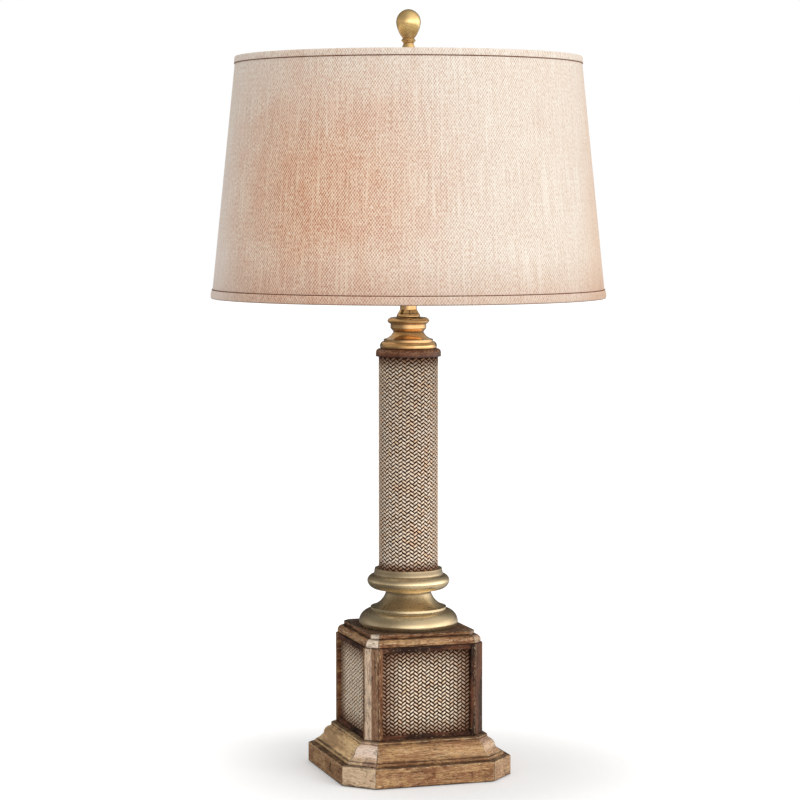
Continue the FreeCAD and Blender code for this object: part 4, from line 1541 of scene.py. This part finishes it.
@dataclass
class Plinth:
    """The wooden plinth and its woven panels."""

    panel_face: float = 0.0598
    panel_low: float = 0.0435
    panel_high: float = 0.1392
    panel_half: float = 0.0473
    set_back: float = 0.0009
    sunk: float = 0.00015
    columns: int = 22
    strand_length: float = 0.0046
    strand_width: float = 0.0019
    strand_lean: float = 36.0
    seed: int = 20
    strand: WovenStrand = WovenStrand(
        "panel_strand", deep=tint(238, 198, 160), body=tint(254, 226, 196), bright=tint(255, 238, 214),
        height_shade=(Step(0.0436, 0.068, 0.9, 0.0), Step(0.1389, 0.112, 0.9, 0.0)),
        side_shade=Step(0.022, 0.0485, 0.0, 0.8),
    )
    ground: PlainFinish = PlainFinish("panel_ground", tint(78, 46, 28), tint(42, 24, 14), 0.9, grain=900,
                                      relief=0.0003, gloss=0.1)
    boards: tuple[tuple[WornWood, Edge, tuple[str, ...]], ...] = (
        (WornWood("slab_wood", 0.2, worn_highlight_level=0.95, worn_highlight=tint(236, 206, 172)), Edge.WORN, ("base_slab",)),
        (WornWood("moulding_wood", 0.22, worn_highlight_level=1.0, highlight_band=(0.0285, 0.0405), left_painted_light=0.5,
                  worn_highlight=tint(255, 230, 212)), Edge.WORN, ("base_moulding",)),
        (WornWood("cap_wood", 0.65, worn_highlight_level=1.0, highlight_height=0.1455, worn_highlight=tint(255, 236, 214)),
         Edge.WORN, ("cap_moulding",)),
        (WornWood("plate_wood", 0.7, worn_highlight_level=1.0, scuffing=0.15, worn_highlight=tint(255, 236, 214)),
         Edge.WORN, ("cap_plate",)),
        # The rails are stained dark; this darkness also stands for painted shade under the cap moulding.
        (WornWood("rail_wood", 1.6, scuffing=0.35), Edge.EASED, ("bottom_rails", "top_rails")),
        (WornWood("post_wood", 0.75, upright=True, worn_highlight_level=0.95, half_highlit=True,
                  glaze_heights=(0.0438, 0.139), worn_heights=()),
         Edge.WORN, ("post_front_left", "post_back_left", "post_back_right")),
        (WornWood("dark_post_wood", 1.9, upright=True, worn_highlight_level=0.1, glaze_heights=(0.0438, 0.139),
                  worn_heights=()), Edge.WORN, ("post_front_right",)),
    )

    def panel(self, side: str, quarter: int, strand: bpy.types.Material, ground: bpy.types.Material) -> Pieces:
        """Makes one woven panel.

        Args:
            side: the plinth's side.
            quarter: how many quarter turns it stands from the front.
            strand: the strands' finish.
            ground: the finish of the ground behind them.

        Returns:
            The panel's strands and their ground.
        """
        weave = Herringbone(column_width=2 * self.panel_half / self.columns, length=self.strand_length,
                            width=self.strand_width, lean=self.strand_lean, seed=self.seed + quarter)
        rows = int((self.panel_high - self.panel_low) / weave.pitch)
        bm = weave.flat(self.columns, rows)
        turn = Matrix.Rotation(math.pi / 2 * quarter, 4, "Z")
        lift = Vector((0, -self.panel_face + weave.depth / 2 - self.sunk, (self.panel_low + self.panel_high) / 2))
        bmesh.ops.transform(bm, matrix=turn @ Matrix.Translation(lift), verts=bm.verts)
        strands = piece_from(bm, f"strands_{side}", "base", "woven_cane", strand)
        plate = node_copy(f"panel_{side}")
        outwards = turn @ Vector((0, -1, 0))
        for vert in plate.verts:
            if vert.co.dot(outwards) > self.panel_face - self.set_back:
                vert.co -= outwards * self.set_back
        backing = piece_from(plate, f"ground_{side}", "base", "woven_cane", ground, f"panel_{side}")
        return [strands, backing]

    def build(self) -> Pieces:
        """Makes the panels and dresses the wood.

        Returns:
            The plinth's pieces.
        """
        strand, ground = self.strand.build(), self.ground.build()
        pieces: Pieces = []
        for quarter, side in enumerate(("front", "right", "back", "left")):
            pieces += self.panel(side, quarter, strand, ground)
        for wood, edge, nodes in self.boards:
            material = wood.build()
            pieces += [carry_over(node, material, edge) for node in nodes]
        return pieces


@dataclass
class Hardware:
    """Everything under the shade, inside the lamp and beneath it."""

    felt_width: float = 0.1764
    felt_area: float = 0.0298
    felt_ease: float = 0.0003
    felt_rim: float = 60.0
    felt: PlainFinish = PlainFinish("felt", tint(56, 62, 56), tint(36, 42, 38), 0.95, grain=1400, relief=0.0006)
    finishes: tuple[tuple[PlainFinish | FrostedGlass, tuple[str, ...]], ...] = (
        (PlainFinish("brass_plate", tint(214, 186, 128), tint(190, 158, 98), 0.26, 1.0, grain=700,
                     relief=0.00004),
         ("harp", "harp_stud", "harp_saddle", "sleeve_left", "sleeve_right", "spider")),
        (PlainFinish("zinc_plate", tint(196, 198, 200), tint(160, 162, 166), 0.34, 1.0, grain=500),
         ("rod_washer", "rod_nut", "threaded_rod")),
        (PlainFinish("socket_brass", tint(222, 188, 120), tint(196, 158, 92), 0.22, 1.0, grain=800,
                     relief=0.00004),
         ("socket_cap", "socket_shell", "screw_shell", "centre_contact")),
        (PlainFinish("phenolic", tint(34, 31, 30), tint(22, 20, 19), 0.38, grain=900),
         ("socket_body", "switch_knob", "cord_bushing")),
        (PlainFinish("cast_iron", tint(74, 74, 76), tint(48, 48, 50), 0.7, 0.6, grain=300, relief=0.0004),
         ("ballast",)),
        (PlainFinish("bare_wood", tint(206, 176, 134), tint(176, 140, 98), 0.7, grain=220, relief=0.0002,
                     stretch=(4.0, 4.0, 0.3)),
         ("carcass", "column_tube")),
        (PlainFinish("rolled_aluminium", tint(214, 214, 216), tint(184, 184, 188), 0.28, 1.0),
         ("bulb_base",)),
        (PlainFinish("glazed_insulator", tint(40, 36, 36), tint(26, 24, 24), 0.15), ("bulb_tip",)),
        (FrostedGlass(), ("bulb_glass",)),
    )

    def pad(self) -> bpy.types.Object:
        """Makes the felt under the slab, with a soft rim.

        Returns:
            The felt.
        """
        bm = node_copy("felt_pad")
        rims = [edge for edge in bm.edges if edge.calc_face_angle(0.0) > math.radians(self.felt_rim)]
        bmesh.ops.bevel(bm, geom=rims, affect="EDGES", offset=self.felt_ease, segments=3, profile=0.5, material=-1)
        felt = piece_from(bm, "felt_sheet", "base", "felt", self.felt.build(), "felt_pad")
        return felt

    def build(self) -> Pieces:
        """Dresses each piece.

        Returns:
            The hardware.
        """
        pieces: Pieces = []
        for finish, nodes in self.finishes:
            material = finish.build()
            pieces += [carry_over(node, material) for node in nodes]
        return [*pieces, self.pad()]


@dataclass
class Studio:
    """The white floor, the light and the camera.

    Gloss shows a white card on the right in front, a dim room on the left and behind, and a grey ceiling.
    """

    camera_place: Direction = (-0.8255, -2.5819, 0.5984)
    heading: float = 72.454
    pitch: float = 4.45
    lens: float = 117.75
    ambient: float = 0.66
    key: float = 0.42
    key_colour: Colour = (1.0, 0.99, 0.97)
    key_towards: Direction = (0.41, -0.79, 0.46)
    key_away: float = 3.0
    key_width: float = 50.0
    bright_side: Direction = (0.675, -0.738, 0.0)
    behind: Direction = (0.3015, 0.9535, 0.0)
    ceiling: Step = Step(0.0, 0.55, 1.0, 0.36)
    card: Step = Step(-0.35, 1.0, 0.55, 2.8)
    back: Step = Step(0.3, 0.95, 1.0, 0.06)
    floor_half: float = 12.0
    floor_grey: float = 0.8
    floor_card: Step = Step(-0.45, 0.95, 0.15, 1.38)
    floor_far: Step = Step(0.2, 1.4, 0.4, 1.0)
    painted_shadow_centre: Direction = (0.025, -0.008, 0.0)
    glow_and_painted_shadow: Step = Step(0.11, 0.32, 0.225, 0.5)

    def floor_white(self) -> bpy.types.Material:
        """Makes the floor's finish, which shows white where nothing shades it away from the lamp; near the lamp it
        is greyer, a painted shadow.

        Returns:
            The finish.
        """
        sheet = FinishSheet("floor_white")
        sheet.tree.nodes.remove(sheet.shader)
        place = sheet.place()
        path = sheet.add("ShaderNodeLightPath")
        heading = sheet.add("ShaderNodeVectorMath", operation="NORMALIZE")
        sheet.join(place, heading.inputs[0])
        facing = sheet.measure("DOT_PRODUCT", heading.outputs["Vector"], self.bright_side)
        side = sheet.times(sheet.fade(facing, self.floor_card),
                           sheet.fade(sheet.measure("LENGTH", place), self.floor_far))
        dimmed = sheet.times(path.outputs["Is Glossy Ray"], sheet.calc("SUBTRACT", 1.0, side))
        kept = sheet.calc("SUBTRACT", 1.0, dimmed)
        grey = sheet.times(kept, self.floor_grey)
        matt = sheet.add("ShaderNodeBsdfDiffuse")
        sheet.join(sheet.whole(grey, grey, grey), matt.inputs["Color"])
        seen = sheet.most(path.outputs["Is Camera Ray"], path.outputs["Is Glossy Ray"],
                          path.outputs["Is Transmission Ray"])
        # Painted shadow: the floor is greyer near the lamp.
        level = sheet.fade(sheet.measure("DISTANCE", place, self.painted_shadow_centre), self.glow_and_painted_shadow)
        glow_and_painted_shadow = sheet.add("ShaderNodeEmission")
        sheet.join(sheet.times(sheet.times(seen, kept), level), glow_and_painted_shadow.inputs["Strength"])
        both = sheet.add("ShaderNodeAddShader")
        sheet.join(matt.outputs[0], both.inputs[0])
        sheet.join(glow_and_painted_shadow.outputs[0], both.inputs[1])
        sheet.join(both.outputs[0], sheet.output.inputs["Surface"])
        return sheet.material

    def floor(self) -> bpy.types.Object:
        """Lays the floor.

        Returns:
            The floor.
        """
        bm = bmesh.new()
        bmesh.ops.create_grid(bm, x_segments=8, y_segments=8, size=self.floor_half)
        mesh = bpy.data.meshes.new("floor")
        bm.to_mesh(mesh)
        bm.free()
        mesh.materials.append(self.floor_white())
        floor = bpy.data.objects.new("floor", mesh)
        bpy.context.scene.collection.objects.link(floor)
        return floor

    def world(self) -> None:
        """Lights the scene softly from all round, in front of white."""
        world = bpy.data.worlds.new("studio")
        bpy.context.scene.world = world
        world.use_nodes = True
        sheet = NodeSheet(world.node_tree)
        background = sheet.tree.nodes["Background"]
        background.inputs["Color"].default_value = (1.0, 1.0, 1.0, 1.0)
        path = sheet.add("ShaderNodeLightPath")
        towards = sheet.add("ShaderNodeTexCoord").outputs["Generated"]
        ceiling = sheet.fade(sheet.parts(towards)[2], self.ceiling)
        side = sheet.fade(sheet.measure("DOT_PRODUCT", towards, self.bright_side), self.card)
        back = sheet.fade(sheet.measure("DOT_PRODUCT", towards, self.behind), self.back, "LINEAR")
        room = sheet.times(sheet.times(ceiling, side), back)
        white = sheet.most(path.outputs["Is Camera Ray"], path.outputs["Is Transmission Ray"])
        shown = sheet.most(white, sheet.times(path.outputs["Is Glossy Ray"], room))
        plain = sheet.calc("SUBTRACT", 1.0, sheet.most(white, path.outputs["Is Glossy Ray"]))
        strength = sheet.calc("ADD", shown, sheet.times(plain, self.ambient))
        sheet.join(strength, background.inputs["Strength"])

    def sun(self) -> bpy.types.Object:
        """Hangs the key light, far off and broad, high on the right in front.

        Returns:
            The lamp.
        """
        light = bpy.data.lights.new("key", "SUN")
        light.energy = self.key * math.pi
        light.angle = math.radians(self.key_width)
        light.color = self.key_colour
        towards = Vector(self.key_towards)
        lamp = bpy.data.objects.new("key", light)
        lamp.location = towards * self.key_away
        lamp.rotation_euler = (-towards).to_track_quat("-Z", "Y").to_euler()
        lamp.visible_glossy = False
        bpy.context.scene.collection.objects.link(lamp)
        return lamp

    def camera(self) -> bpy.types.Object:
        """Stands the camera where the photograph was taken from.

        Returns:
            The camera.
        """
        camera = bpy.data.cameras.new("camera")
        camera.lens = self.lens
        camera.sensor_width = 36.0
        camera.clip_end = 100.0
        eye = bpy.data.objects.new("camera", camera)
        eye.location = self.camera_place
        turn, tilt = math.radians(self.heading), math.radians(self.pitch)
        ahead = Vector((math.cos(turn) * math.cos(tilt), math.sin(turn) * math.cos(tilt), -math.sin(tilt)))
        eye.rotation_euler = ahead.to_track_quat("-Z", "Y").to_euler()
        bpy.context.scene.collection.objects.link(eye)
        bpy.context.scene.camera = eye
        return eye

    def build(self) -> Pieces:
        """Sets up the floor, the light and the camera.

        Returns:
            The floor, the lamp and the camera.
        """
        self.world()
        bpy.context.scene.view_settings.view_transform = "Standard"
        return [self.floor(), self.sun(), self.camera()]


def main() -> None:
    """Builds the lamp's sub-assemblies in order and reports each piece."""
    logging.basicConfig(level=logging.INFO)
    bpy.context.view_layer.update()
    for part in (Studio(), Plinth(), Fittings(), Column(), Hardware(), Shade()):
        for piece in part.build():
            LOG.info("%s: %s", type(part).__name__.lower(), piece.name)


if __name__ == "__main__":
    main()
